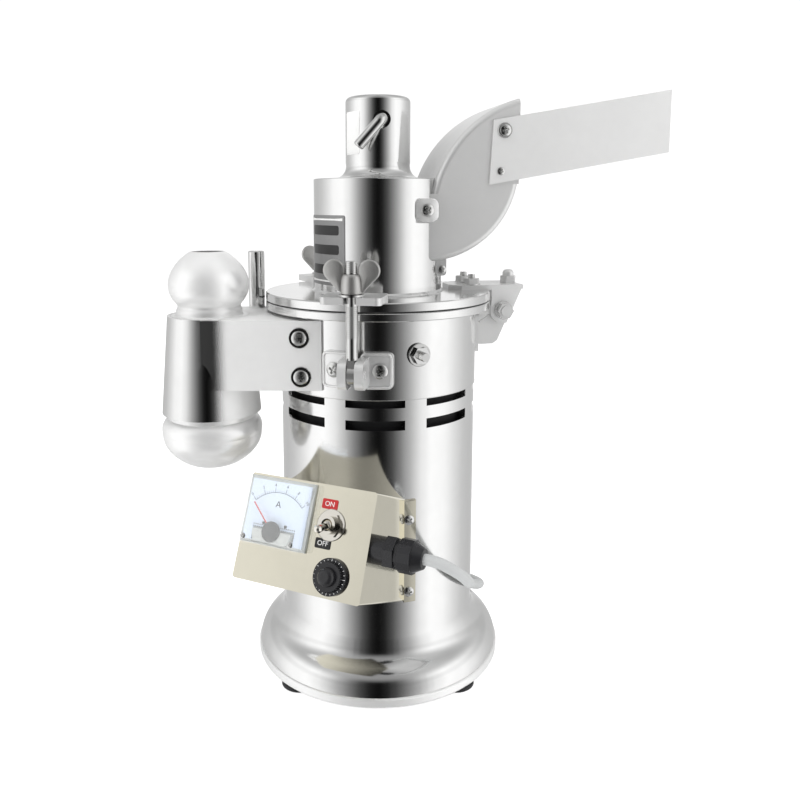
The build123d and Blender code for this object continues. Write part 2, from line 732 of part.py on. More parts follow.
for clamp_name, clamp_azimuth in clamp_azimuths.items():
    with BuildPart() as clamp_lugs:
        with BuildSketch(wall_plane(clamp_azimuth, 0, clamp_pin_height)):
            with Locations((-14, 0), (14, 0)):
                RectangleRounded(22.4, 25.6, 3.5)
        extrude(amount=90)
        with BuildSketch(Plane.XY.offset(200)):
            Circle(chamber_radius + 3)
        extrude(amount=100, mode=Mode.INTERSECT)
        for side in (-ear_outer, ear_inner):
            with BuildSketch(side_plane(clamp_azimuth, side)):
                with Locations((ear_reach - 16, clamp_pin_height)):
                    RectangleRounded(32, 20, 7)
            extrude(amount=ear_outer - ear_inner)
        with BuildSketch(Plane.XY.offset(200)):
            Circle(chamber_radius)
        extrude(amount=100, mode=Mode.SUBTRACT)
        with BuildSketch(side_plane(clamp_azimuth, -ear_outer - 0.8)):
            with Locations((clamp_reach, clamp_pin_height)):
                Circle(clamp_pin_radius)
        extrude(amount=2 * ear_outer + 1.6)
    save(clamp_lugs, f"{clamp_name}_clamp_lugs")

    pin_plane = side_plane(clamp_azimuth, -eye_half)
    shank_bottom = clamp_pin_height + 10.6
    shank_plane = Plane(origin=outward(clamp_azimuth) * clamp_reach)
    with BuildPart() as clamp_bolt:
        with BuildSketch(pin_plane):
            with Locations((clamp_reach, clamp_pin_height)):
                Circle(6.4)
            with Locations((clamp_reach, clamp_pin_height + 6)):
                Rectangle(2 * clamp_bolt_radius - 0.6, 12)
            with Locations((clamp_reach, clamp_pin_height)):
                Circle(clamp_pin_radius + running_gap, mode=Mode.SUBTRACT)
        extrude(amount=2 * eye_half)
        with BuildSketch(shank_plane.offset(shank_bottom)):
            Circle(clamp_bolt_radius)
        extrude(amount=bolt_top - shank_bottom)
        chamfer(clamp_bolt.faces().sort_by(Axis.Z)[-1].edges(), 0.7)
    save(clamp_bolt, f"{clamp_name}_clamp_bolt")

    with BuildPart() as clamp_washer:
        with BuildSketch(shank_plane.offset(washer_bottom)):
            Circle(8.6)
            Circle(clamp_bolt_radius + running_gap, mode=Mode.SUBTRACT)
        extrude(amount=washer_top - washer_bottom)
    save(clamp_washer, f"{clamp_name}_clamp_washer")

    with BuildPart() as wing_nut:
        with BuildSketch(shank_plane.offset(nut_bottom)):
            Circle(7.9)
        extrude(amount=nut_top - nut_bottom, taper=5)
        with BuildSketch(wall_plane(clamp_azimuth, clamp_reach - 1.8)):
            with BuildLine():
                Polyline((5, nut_bottom + 1), (10, nut_bottom + 0.5), (17, nut_bottom + 6),
                         (21.2, nut_bottom + 16), (20.6, 320), (16, 321), (11.5, 315), (5, nut_top - 1),
                         close=True)
            make_face()
            mirror(about=Plane.YZ)
        extrude(amount=3.6)
        with BuildSketch(shank_plane.offset(nut_bottom - 1)):
            Circle(clamp_bolt_radius + running_gap)
        extrude(amount=40, mode=Mode.SUBTRACT)
    save(wing_nut, f"{clamp_name}_wing_nut")

    slot_half = 4.5
    with BuildPart() as fork_tab:
        with BuildSketch(Plane.XY.offset(lid_top).rotated((0, 0, clamp_azimuth - 90))):
            with Locations((83.5, 0)):
                RectangleRounded(31, 41.6, 4)
            with Locations((clamp_reach, 0)):
                Circle(slot_half, mode=Mode.SUBTRACT)
            with Locations((clamp_reach + 10, 0)):
                Rectangle(20, 2 * slot_half, mode=Mode.SUBTRACT)
        extrude(amount=tab_top - lid_top)
    save(fork_tab, f"{clamp_name}_fork_tab")

# ---- control box --------------------------------------------------------------------------
box_out = outward(box_azimuth)
panel_normal = box_out * cos(radians(panel_pitch)) + Vector(0, 0, sin(radians(panel_pitch)))
panel_origin = box_out * panel_reach + Vector(0, 0, panel_height)
panel = Plane(origin=panel_origin, x_dir=Vector(-box_out.Y, box_out.X, 0), z_dir=panel_normal)
meter_place = (-21.6, 11.6)
meter_width, meter_height, meter_depth = 51.0, 45.0, 10.5
switch_place = (19.0, 10.0)
breaker_place = (25.5, -21.8)
gland_reach, gland_height = 108.0, 133.0
gland_origin = box_out * gland_reach + Vector(0, 0, gland_height) + panel.x_dir * (panel_width / 2)
gland_plane = Plane(origin=gland_origin, x_dir=Vector(0, 0, 1), z_dir=panel.x_dir)
with BuildPart() as control_box:
    with BuildSketch(panel):
        Rectangle(panel_width, panel_slant)
    extrude(amount=-90)
    fillet(control_box.edges().filter_by(Axis(panel_origin, panel_normal)), 2)
    with BuildSketch(panel.offset(-box_sheet)):
        Rectangle(panel_width - 2 * box_sheet, panel_slant - 2 * box_sheet)
    extrude(amount=-100, mode=Mode.SUBTRACT)
    for direction in (-1, 1):
        start = box_azimuth + (-45.6 if direction < 0 else 39.0)
        with BuildSketch(side_plane(start)):
            with Locations((body_radius + 0.8, 110.5)):
                RectangleRounded(1.6, 77, 0.7)
        revolve(axis=Axis.Z, revolution_arc=6.6)
    with BuildSketch(Plane.XY.offset(20)):
        Circle(body_radius)
    extrude(amount=190, mode=Mode.SUBTRACT)
    with BuildSketch(panel.offset(-5)):
        with Locations(meter_place):
            Circle(19.6)
        with Locations(switch_place):
            Circle(6.1)
        with Locations(breaker_place):
            Circle(9.6)
    extrude(amount=10, mode=Mode.SUBTRACT)
    with BuildSketch(gland_plane.offset(-5)):
        Circle(8)
    extrude(amount=10, mode=Mode.SUBTRACT)
save(control_box, "control_box")

# ---- ammeter ------------------------------------------------------------------------------
meter_plane = Plane(origin=panel.from_local_coords(Vector(*meter_place, 0)), x_dir=panel.x_dir,
                    z_dir=panel_normal)
needle_pivot = (0, -12.5)
movement_radius = 15.0
with BuildPart() as meter_case:
    with BuildSketch(meter_plane):
        Rectangle(meter_width, meter_height)
    extrude(amount=2)
    with BuildSketch(meter_plane):
        Circle(19.5)
    extrude(amount=-24)
    with BuildSketch(meter_plane.offset(2)):
        with Locations(needle_pivot):
            Circle(movement_radius)
        with Locations((0, needle_pivot[1] + 25)):
            Rectangle(60, 50, mode=Mode.SUBTRACT)
        with Locations((0, -28)):
            Rectangle(60, 15, mode=Mode.SUBTRACT)
    extrude(amount=4)
save(meter_case, "meter_case")

with BuildPart() as meter_dial:
    with BuildSketch(meter_plane.offset(2)):
        Rectangle(meter_width - 4.4, meter_height - 4.4)
        with Locations((0, -20)):
            Rectangle(2 * movement_radius + 2, 17, mode=Mode.SUBTRACT)
    extrude(amount=1)
save(meter_dial, "meter_dial")

with BuildPart() as meter_window:
    with BuildSketch(meter_plane.offset(2)):
        RectangleRounded(meter_width, meter_height, 1.5)
    extrude(amount=meter_depth - 2)
    with BuildSketch(meter_plane.offset(2)):
        Rectangle(meter_width - 3.6, meter_height - 3.6)
    extrude(amount=meter_depth - 3.8, mode=Mode.SUBTRACT)
save(meter_window, "meter_window")

needle_angle = 45
needle_plane = Plane(origin=meter_plane.from_local_coords(Vector(*needle_pivot, 6.1)), x_dir=panel.x_dir,
                     z_dir=panel_normal)
with BuildPart() as meter_needle:
    with BuildSketch(needle_plane):
        Circle(2.2)
        with Locations(Location((0, 0, 0), (0, 0, 90 + needle_angle))):
            with Locations((12, 0)):
                Rectangle(24, 0.8)
    extrude(amount=0.7)
save(meter_needle, "meter_needle")

# ---- toggle switch ------------------------------------------------------------------------
switch_plane = Plane(origin=panel.from_local_coords(Vector(*switch_place, 0)), x_dir=panel.x_dir,
                     z_dir=panel_normal)
ball_height = 4.0
ball_radius = 3.9
with BuildPart() as switch_body:
    with BuildSketch(switch_plane):
        RegularPolygon(8.2, 6)
    extrude(amount=2.6)
    with BuildSketch(switch_plane.offset(-16)):
        Circle(6)
    extrude(amount=23)
    with BuildSketch(switch_plane.offset(-0.5)):
        Circle(ball_radius + 0.1)
    extrude(amount=12, mode=Mode.SUBTRACT)
    with BuildSketch(switch_plane.offset(-30)):
        Rectangle(13, 26)
    extrude(amount=26)
save(switch_body, "switch_body")

throw = 13.0
lever_base = Plane(origin=switch_plane.from_local_coords(Vector(0, 0, ball_height)), x_dir=panel.x_dir,
                   z_dir=panel_normal)
lever_plane = lever_base.rotated((throw, 0, 0))
with BuildPart() as switch_lever:
    with BuildSketch(Plane(origin=lever_plane.origin, x_dir=lever_plane.x_dir, z_dir=-lever_plane.y_dir)):
        with BuildLine():
            ball_top = sqrt(ball_radius ** 2 - 1.9 ** 2)
            ball = ThreePointArc((0, -ball_radius), (ball_radius, 0), (1.9, ball_top))
            Polyline(ball @ 1, (2.7, 15.5), (1.8, 17.2), (0, 17.8), (0, -ball_radius))
        make_face()
    revolve(axis=Axis(lever_plane.origin, lever_plane.z_dir))
save(switch_lever, "switch_lever")

# ---- overload breaker with its reset button -----------------------------------------------
breaker_plane = Plane(origin=panel.from_local_coords(Vector(*breaker_place, 0)), x_dir=panel.x_dir,
                      z_dir=panel_normal)
button_radius = 6.0
with BuildPart() as breaker_body:
    with BuildSketch(breaker_plane):
        Circle(11.9)
    extrude(amount=3)
    with BuildSketch(breaker_plane.offset(3)):
        Circle(9.2)
    extrude(amount=3)
    with BuildSketch(breaker_plane.offset(-20)):
        Circle(9.5)
    extrude(amount=20)
    with BuildSketch(breaker_plane.offset(-3)):
        Circle(button_radius + 0.1)
    extrude(amount=12, mode=Mode.SUBTRACT)
save(breaker_body, "breaker_body")

with BuildPart() as reset_button:
    with BuildSketch(breaker_plane.offset(0.2)):
        Circle(button_radius)
    extrude(amount=10.6)
    crown_face = reset_button.faces().sort_by(Axis(panel_origin, panel_normal))[-1]
    fillet(crown_face.edges(), 3.2)
save(reset_button, "reset_button")

# ---- cable gland and cord -----------------------------------------------------------------
gland_length = 34.5
with BuildPart() as cable_gland:
    with BuildSketch(gland_plane.offset(-9)):
        Circle(7.9)
    extrude(amount=9)
    with BuildSketch(gland_plane.offset(-4.5)):
        Circle(9.4)
    extrude(amount=3)
    with BuildSketch(gland_plane):
        Circle(9.4)
    extrude(amount=9)
    with BuildSketch(gland_plane.offset(9)):
        RegularPolygon(11.2, 6)
    extrude(amount=7)
    with BuildSketch(gland_plane.offset(16)):
        Circle(9.0)
    extrude(amount=3)
    with BuildSketch(gland_plane.offset(19)):
        RegularPolygon(11.2, 12)
    extrude(amount=9)
    with BuildSketch(gland_plane.offset(28)):
        Circle(10)
    extrude(amount=gland_length - 28, taper=28)
save(cable_gland, "cable_gland")

cord_lying = cord_radius + 0.2
cord_start = gland_plane.from_local_coords(Vector(0, 0, gland_length))
cord_route = [
    cord_start,
    cord_start + panel.x_dir * 9,
    Vector(46.5, -137.3, 128.6),
    Vector(54.6, -131.4, 120.8),
    Vector(59.4, -120.4, 111.5),
    Vector(61.5, -105.5, 104.0),
    Vector(63.5, -80.0, 91.0),
    Vector(68.0, -53.0, 76.5),
    Vector(75.5, -31.0, 64.5),
    Vector(82.0, -8.0, 53.0),
    Vector(85.5, 18.0, 41.0),
    Vector(86.0, 47.0, 28.5),
    Vector(81.5, 77.0, 17.0),
    Vector(73.0, 103.0, 8.5),
    Vector(64.5, 123.0, cord_lying),
    Vector(60.5, 139.0, cord_lying),
]


def route_radii(points):
    """Largest arc for each corner of a route: 0.45 of the shorter run over the tangent of half the turn."""
    radii = []
    for before, corner, after in zip(points, points[1:], points[2:]):
        first, second = corner - before, after - corner
        turn = radians(first.get_angle(second))
        radii.append(0.45 * min(first.length, second.length) / tan(turn / 2))
    return radii


cord_radii = route_radii(cord_route)
print("cord radii", [round(radius, 1) for radius in cord_radii])
with BuildPart() as power_cord:
    with BuildLine() as cord_path:
        FilletPolyline(*cord_route, radius=cord_radii)
    with BuildSketch(Plane(origin=cord_path.line @ 0, z_dir=cord_path.line % 0)):
        Circle(cord_radius)
    sweep(path=cord_path.line)
cord_length = cord_path.wires()[0].length
volume_ratio = power_cord.part.volume / (pi * cord_radius ** 2 * cord_length)
print("cord volume over section times length", round(volume_ratio, 4))
save(power_cord, "power_cord")

# ---- spare cord, coiled behind the mill, and its plug -------------------------------------
coil_radius = 45.0
coil_x, coil_y = 10.0, 168.0
bundle_width, bundle_height = 15.6, 14.8
plug_x = -22.0
plug_y = coil_y + coil_radius + cord_radius
with BuildPart() as cord_coil:
    with BuildSketch(Plane(origin=(coil_x, coil_y, 0), x_dir=(1, 0, 0), z_dir=(0, -1, 0))):
        with Locations((coil_radius, 0.2 + bundle_height / 2)):
            RectangleRounded(bundle_width, bundle_height, 3.7)
    revolve(axis=Axis((coil_x, coil_y, 0), (0, 0, 1)))
    with BuildSketch(Plane(origin=cord_route[-1], z_dir=cord_route[-1] - cord_route[-2])):
        Circle(cord_radius)
    extrude(amount=24)
    with BuildSketch(Plane(origin=(plug_x, plug_y, cord_lying), z_dir=(1, 0, 0))):
        Circle(cord_radius)
    extrude(amount=coil_x - plug_x)
save(cord_coil, "cord_coil")

plug_axis = Plane(origin=(plug_x, plug_y, cord_lying), x_dir=(0, 1, 0), z_dir=(-1, 0, 0))
pin_height = 13.0
plug_face = Plane(origin=(plug_x - 40, plug_y, pin_height), x_dir=(0, 1, 0), z_dir=(-1, 0, 0))
with BuildPart() as power_plug:
    with BuildSketch(plug_axis):
        Circle(cord_radius)
    with BuildSketch(plug_axis.offset(12)):
        Circle(cord_radius + 1)
    with BuildSketch(Plane(origin=(plug_x - 20, plug_y, pin_height), x_dir=(0, 1, 0), z_dir=(-1, 0, 0))):
        RectangleRounded(26, 24, 7)
    with BuildSketch(plug_face):
        RectangleRounded(34, 25, 8)
    loft(ruled=True)
    with BuildSketch(plug_face):
        with Locations((0, 6.5)):
            Rectangle(1.6, 6.3)
        with Locations(Location((-6.5, -3.5, 0), (0, 0, -30)), Location((6.5, -3.5, 0), (0, 0, 30))):
            Rectangle(1.6, 6.3)
    extrude(amount=18)
save(power_plug, "power_plug")
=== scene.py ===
"""Looks of a bench lab mill: finishes, fasteners, meter face, labels, power lead and studio.

Lengths inside the classes are millimetres, turned to metres where a mesh is made. The origin is on
the motor axis at the bench, +Z up, the front of the mill faces -Y, and an azimuth is measured from
the front, positive to the right.
"""
import json
import logging
import math
from dataclasses import dataclass, field
from enum import Enum
from typing import Dict, List, Sequence, Tuple

import bmesh
import bpy
import numpy as np
from mathutils import Matrix


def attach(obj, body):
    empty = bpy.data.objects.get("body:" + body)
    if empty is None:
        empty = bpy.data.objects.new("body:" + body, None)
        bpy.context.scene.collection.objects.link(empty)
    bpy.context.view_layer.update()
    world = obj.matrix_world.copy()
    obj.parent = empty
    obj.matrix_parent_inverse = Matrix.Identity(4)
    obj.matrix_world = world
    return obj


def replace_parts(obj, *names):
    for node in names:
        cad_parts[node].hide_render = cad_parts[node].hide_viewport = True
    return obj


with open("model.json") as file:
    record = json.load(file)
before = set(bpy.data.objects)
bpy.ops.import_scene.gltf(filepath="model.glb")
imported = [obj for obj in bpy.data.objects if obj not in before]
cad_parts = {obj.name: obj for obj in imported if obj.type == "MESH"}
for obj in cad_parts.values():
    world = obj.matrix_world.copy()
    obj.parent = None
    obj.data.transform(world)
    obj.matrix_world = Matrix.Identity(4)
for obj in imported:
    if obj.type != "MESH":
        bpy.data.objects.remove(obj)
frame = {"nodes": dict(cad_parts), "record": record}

LOG = logging.getLogger("mill")
MM = 0.001
DEGREE = 57.3  # degrees in a radian, rounded
Piece = bpy.types.Object
Pair = Tuple[float, float]
Triple = Tuple[float, float, float]
Colour = Triple
HANDS = (("left", -1), ("right", 1))
Profile = Tuple[Pair, ...]
Place = Tuple[str, float, float]


# ---- axes and surfaces --------------------------------------------------------------------
@dataclass(frozen=True)
class Axes:
    """Local right-handed axes with an origin in millimetres."""

    origin: Triple
    x: Triple
    y: Triple

    def place(self, points: np.ndarray) -> np.ndarray:
        """Turns local millimetre points, shaped (..., 3), to metres in the mill's frame."""
        x, y = np.array(self.x), np.array(self.y)
        normal = np.cross(x, y)
        local = np.array(self.origin) + points[..., :1] * x + points[..., 1:2] * y + points[..., 2:] * normal
        return local * MM

    def moved(self, x: float = 0.0, y: float = 0.0, out: float = 0.0) -> "Axes":
        """The same axes with their origin moved along x, y and the normal."""
        origin = self.place(np.array([x, y, out])) / MM
        return Axes(tuple(origin), self.x, self.y)

    def turned(self, angle: float) -> "Axes":
        """The same axes turned about their normal by an angle in degrees."""
        cosine, sine = math.cos(math.radians(angle)), math.sin(math.radians(angle))
        x, y = np.array(self.x), np.array(self.y)
        return Axes(self.origin, tuple(cosine * x + sine * y), tuple(cosine * y - sine * x))


def outward(azimuth: float) -> np.ndarray:
    """Unit vector away from the motor axis at an azimuth in degrees."""
    return np.array([math.sin(math.radians(azimuth)), -math.cos(math.radians(azimuth)), 0.0])


def wall_axes(azimuth: float, reach: float, height: float) -> Axes:
    """Axes on an upright wall: x to the right seen from outside, y up, normal outwards."""
    out = outward(azimuth)
    return Axes(tuple(out * reach + np.array([0, 0, height])), (-out[1], out[0], 0.0), (0.0, 0.0, 1.0))


def side_axes(azimuth: float, side: float) -> Axes:
    """Axes of an upright plane along an azimuth: x outwards, y up, at a distance to its side."""
    out = outward(azimuth)
    normal = np.array([out[1], -out[0], 0.0])
    return Axes(tuple(normal * side), tuple(out), (0.0, 0.0, 1.0))


def level_axes(x: float, y: float, height: float) -> Axes:
    """Level axes at a point, with the normal up."""
    return Axes((x, y, height), (1.0, 0.0, 0.0), (0.0, 1.0, 0.0))


def circle(count: int) -> np.ndarray:
    """Angles of even steps round a circle, in radians."""
    return np.linspace(0, 2 * math.pi, count, endpoint=False)


def polar(reach: np.ndarray, turn: np.ndarray, level: np.ndarray) -> np.ndarray:
    """Points (reach cos turn, reach sin turn, level), the three spread over one another."""
    return np.stack(np.broadcast_arrays(reach * np.cos(turn), reach * np.sin(turn), level), axis=-1)


def linked(name: str, data: bpy.types.ID) -> Piece:
    """Makes an object for a mesh, a curve, a light or a camera and puts it into the scene."""
    made = bpy.data.objects.new(name, data)
    bpy.context.scene.collection.objects.link(made)
    return made


def finish_mesh(name: str, points: np.ndarray, faces: np.ndarray, sharp: float) -> Piece:
    """Puts points and faces into a mesh, merges its poles and seams and points its faces outwards.

    Args:
        name: the piece's name.
        points: (n, 3) places in metres.
        faces: (m, 4) indices of the corners.
        sharp: angle in degrees past which an edge stays sharp.

    Returns:
        The new object, at the origin.
    """
    mesh = bpy.data.meshes.new(name)
    mesh.from_pydata(points.tolist(), [], faces.tolist())
    work = bmesh.new()
    work.from_mesh(mesh)
    bmesh.ops.remove_doubles(work, verts=work.verts, dist=2e-6)
    bmesh.ops.dissolve_degenerate(work, edges=work.edges, dist=1e-6)
    bmesh.ops.recalc_face_normals(work, faces=work.faces)
    work.to_mesh(mesh)
    work.free()
    mesh.polygons.foreach_set("use_smooth", np.ones(len(mesh.polygons), dtype=bool))
    mesh.set_sharp_from_angle(angle=math.radians(sharp))
    return linked(name, mesh)


def grid_object(name: str, grid: np.ndarray, sharp: float = 32.0) -> Piece:
    """Makes a piece from a grid of points, shaped (rows, columns, 3), that closes round its columns."""
    rows, columns = grid.shape[:2]
    row, column = np.meshgrid(np.arange(rows - 1), np.arange(columns), indexing="ij")
    following = (column + 1) % columns
    corners = [row * columns + column, row * columns + following,
               (row + 1) * columns + following, (row + 1) * columns + column]
    faces = np.stack(corners, axis=-1).reshape(-1, 4)
    return finish_mesh(name, grid.reshape(-1, 3), faces, sharp)


def revolved(name: str, axes: Axes, profile: Sequence[Pair], columns: int = 48) -> Piece:
    """Turns a profile of (radius, height) pairs round the axes' normal: (r cos t, r sin t, h)."""
    line = np.array(profile, dtype=float)
    return grid_object(name, axes.place(polar(line[:, :1], circle(columns), line[:, 1:])))


def bend(flat: np.ndarray, around: np.ndarray, azimuth: float, radius: float, height: float) -> np.ndarray:
    """Wraps flat points round the motor axis: azimuth = s / radius, at a reach of `around`, in metres."""
    angle = flat[..., 0] / radius + math.radians(azimuth)
    return np.stack([around * np.sin(angle), -around * np.cos(angle), flat[..., 1] + height], axis=-1) * MM


def ring_bars(turn: np.ndarray, reach: object, length: object, width: object) -> np.ndarray:
    """Rows for bar_field of bars that point outwards from a ring: each at (reach cos t, reach sin t)."""
    return np.stack(np.broadcast_arrays(reach * np.cos(turn), reach * np.sin(turn), length, width,
                                        np.degrees(turn)), axis=-1)


def rounded_outline(width: float, height: float, corner: float, samples: int = 6) -> np.ndarray:
    """Outline of a rectangle with round corners: each quarter arc is set at its own corner's centre."""
    quarter = np.linspace(0, math.pi / 2, samples)
    arcs = []
    for turn, (sx, sy) in enumerate([(1, 1), (-1, 1), (-1, -1), (1, -1)]):
        angle = quarter + turn * math.pi / 2
        centre = np.array([sx * (width / 2 - corner), sy * (height / 2 - corner)])
        arcs.append(centre + corner * np.stack([np.cos(angle), np.sin(angle)], axis=-1))
    return np.concatenate(arcs)


def close_set(outline: np.ndarray, step: float) -> np.ndarray:
    """The same closed outline with points no further apart than a step, so that it can be bent."""
    following = np.roll(outline, -1, axis=0)
    count = np.maximum(np.ceil(np.linalg.norm(following - outline, axis=1) / step).astype(int), 1)
    return np.concatenate([start + (end - start) * np.arange(parts)[:, None] / parts
                           for start, end, parts in zip(outline, following, count)])


def hull_outline(circles: Sequence[Triple], samples: int = 96) -> np.ndarray:
    """Outline round circles given as (x, y, radius): for each direction, the furthest circle's own point."""
    turn = circle(samples)
    ways = np.stack([np.cos(turn), np.sin(turn)], axis=-1)
    rounds = np.array(circles)
    reach = ways @ rounds[:, :2].T + rounds[:, 2]
    furthest = rounds[np.argmax(reach, axis=1)]
    return furthest[:, :2] + furthest[:, 2:] * ways


def smooth_profile(points: Sequence[Pair], passes: int = 3) -> List[Pair]:
    """Rounds a profile by corner cutting: each pass puts points at 1/4 and 3/4 of every side."""
    line = np.array(points, dtype=float)
    for _ in range(passes):
        quarter, other = 0.75 * line[:-1] + 0.25 * line[1:], 0.25 * line[:-1] + 0.75 * line[1:]
        line = np.concatenate([line[:1], np.stack([quarter, other], axis=1).reshape(-1, 2), line[-1:]])
    return [tuple(point) for point in line]


def layered(name: str, axes: Axes, outline: np.ndarray, layers: Sequence[Pair],
            sharp: float = 32.0) -> Piece:
    """Stacks an outline at heights, each drawn in by its inset, and closes both ends at the middle.

    Args:
        name: the piece's name.
        axes: where it lies.
        outline: (n, 2) points round the middle.
        layers: (inset, height) pairs, from the back to the front.
        sharp: angle in degrees past which an edge stays sharp.

    Returns:
        The closed piece.
    """
    middle = outline.mean(axis=0)
    spread = outline - middle
    reach = np.linalg.norm(spread, axis=1, keepdims=True)
    rows = [np.concatenate([spread * 0 + middle, np.full_like(reach, layers[0][1])], axis=1)]
    for inset, height in layers:
        drawn = middle + spread * (1 - inset / reach)
        rows.append(np.concatenate([drawn, np.full_like(reach, height)], axis=1))
    rows.append(np.concatenate([spread * 0 + middle, np.full_like(reach, layers[-1][1])], axis=1))
    return grid_object(name, axes.place(np.stack(rows)), sharp)


def threaded(name: str, axes: Axes, radius: float, depth: float, pitch: float, length: float,
             columns: int = 20) -> Piece:
    """A screw thread: r(t, h) = radius - depth + depth * triangle(h / pitch - t / 2pi), closed at both ends."""
    steps = int(length / pitch * 7)
    height = np.linspace(0, length, steps)[:, None]
    turn = circle(columns)[None, :]
    phase = np.mod(height / pitch - turn / (2 * math.pi), 1.0)
    taper = np.clip(np.minimum(height, length - height) / 0.8, 0.0, 1.0)
    reach = radius - depth + depth * taper * (1 - np.abs(2 * phase - 1))
    grid = polar(reach, turn, height)
    ends = [grid[:1] * np.array([0, 0, 1]), grid, grid[-1:] * np.array([0, 0, 1])]
    return grid_object(name, axes.place(np.concatenate(ends)), 60.0)


def cross_screw(name: str, axes: Axes, radius: float, height: float) -> Piece:
    """A domed cross-slot screw head.

    The dome is h(r) = height * sqrt(1 - 0.8 r^2), and the slot lowers it where either local
    coordinate is inside the blade's width and the other inside its length, with soft walls.
    """
    ring = np.concatenate([np.linspace(0, 0.66, 17), np.linspace(0.72, 1.0, 7)])[:, None]
    turn = circle(64)[None, :]
    x, y = ring * np.cos(turn), ring * np.sin(turn)
    dome = height * np.sqrt(1 - 0.8 * ring ** 2) * np.ones_like(turn)

    def blade(across: np.ndarray, along: np.ndarray) -> np.ndarray:
        """Depth mask of one blade of the slot, 1 at its middle."""
        wide = np.clip((0.15 - np.abs(across)) / 0.05, 0, 1)
        return wide * np.clip((0.6 - np.abs(along)) / 0.14, 0, 1)

    slot = np.maximum(blade(x, y), blade(y, x))
    top = np.stack([x * radius, y * radius, dome - slot * height * 0.75], axis=-1)
    foot = np.stack([x[-1:] * radius, y[-1:] * radius, np.zeros_like(x[-1:]) - 0.4], axis=-1)
    under = foot * np.array([0, 0, 1])
    return grid_object(name, axes.place(np.concatenate([top, foot, under])), 40.0)


def bar_field(name: str, axes: Axes, bars: np.ndarray, low: float, high: float) -> Piece:
    """Many small bars as one piece: each row of bars is (x, y, width, height, angle in degrees)."""
    unit = np.array([[-1, -1], [1, -1], [1, 1], [-1, 1]]) / 2
    size = unit[None] * bars[:, None, 2:4]
    angle = np.radians(bars[:, 4])[:, None]
    flat = np.stack([size[..., 0] * np.cos(angle) - size[..., 1] * np.sin(angle),
                     size[..., 0] * np.sin(angle) + size[..., 1] * np.cos(angle)], axis=-1) + bars[:, None, :2]
    lower = np.concatenate([flat, np.full(flat.shape[:2] + (1,), low)], axis=-1)
    upper = np.concatenate([flat, np.full(flat.shape[:2] + (1,), high)], axis=-1)
    points = np.concatenate([lower, upper], axis=1).reshape(-1, 3)
    sides = np.array([[0, 3, 2, 1], [4, 5, 6, 7], [0, 1, 5, 4], [1, 2, 6, 5], [2, 3, 7, 6], [3, 0, 4, 7]])
    faces = (sides[None] + 8 * np.arange(len(bars))[:, None, None]).reshape(-1, 4)
    return finish_mesh(name, axes.place(points), faces, 30.0)


def arc_band(name: str, axes: Axes, inner: float, outer: float, span: Pair, heights: Pair) -> Piece:
    """A flat curved strip: a rectangle's four corners carried round an arc given in degrees."""
    turn = np.radians(np.linspace(span[0], span[1], 60))[:, None]
    reach = np.array([inner, outer, outer, inner])[None, :]
    grid = polar(reach, turn, np.repeat(heights, 2))
    ends = [grid[:1].mean(axis=1, keepdims=True).repeat(4, axis=1), grid,
            grid[-1:].mean(axis=1, keepdims=True).repeat(4, axis=1)]
    return grid_object(name, axes.place(np.concatenate(ends)), 30.0)


def lettering(name: str, axes: Axes, words: str, size: float, raised: float) -> Piece:
    """Raised words centred on the axes, as a mesh.

    Args:
        name: the piece's name.
        axes: where the words are centred.
        words: what they say.
        size: letter size in millimetres.
        raised: thickness in millimetres.

    Returns:
        The words as one mesh with their place in it.
    """
    curve = bpy.data.curves.new(name, "FONT")
    curve.body, curve.size, curve.extrude = words, size, raised / 2
    curve.align_x, curve.align_y = "CENTER", "CENTER"
    curve.resolution_u = 3
    draft = linked(name + "_draft", curve)
    bpy.context.view_layer.update()
    mesh = bpy.data.meshes.new_from_object(draft.evaluated_get(bpy.context.evaluated_depsgraph_get()))
    bpy.data.objects.remove(draft)
    points = np.empty(len(mesh.vertices) * 3)
    mesh.vertices.foreach_get("co", points)
    placed = axes.place(points.reshape(-1, 3) + np.array([0, 0, raised / 2]))
    mesh.vertices.foreach_set("co", placed.ravel())
    mesh.name = name
    return linked(name, mesh)


# ---- shader groups ------------------------------------------------------------------------
def new_group(name: str, inputs: Sequence[Tuple[str, str, object]],
              outputs: Sequence[Tuple[str, str]]) -> Tuple[bpy.types.ShaderNodeTree, object, object]:
    """Starts a shader node group with named sockets.

    Args:
        name: the group's name.
        inputs: (socket name, socket type, default) of each input.
        outputs: (socket name, socket type) of each output.

    Returns:
        The group, its input node and its output node.
    """
    group = bpy.data.node_groups.new(name, "ShaderNodeTree")
    for label, kind, default in inputs:
        group.interface.new_socket(label, in_out="INPUT", socket_type=kind).default_value = default
    for label, kind in outputs:
        group.interface.new_socket(label, in_out="OUTPUT", socket_type=kind)
    return group, group.nodes.new("NodeGroupInput"), group.nodes.new("NodeGroupOutput")


def math_node(tree: bpy.types.NodeTree, operation: str, *values: object) -> object:
    """Adds a Math node; each value is a number or a socket to link. Returns its output socket."""
    node = tree.nodes.new("ShaderNodeMath")
    node.operation = operation
    for index, value in enumerate(values):
        if isinstance(value, (int, float)):
            node.inputs[index].default_value = value
        else:
            tree.links.new(value, node.inputs[index])
    return node.outputs[0]


def noise_node(tree: bpy.types.NodeTree, vector: object, scale: object, detail: float) -> object:
    """Adds a Noise Texture read at a vector and returns its value socket."""
    node = tree.nodes.new("ShaderNodeTexNoise")
    node.inputs["Detail"].default_value = detail
    tree.links.new(vector, node.inputs["Vector"])
    if isinstance(scale, (int, float)):
        node.inputs["Scale"].default_value = scale
    else:
        tree.links.new(scale, node.inputs["Scale"])
    return node.outputs[0]


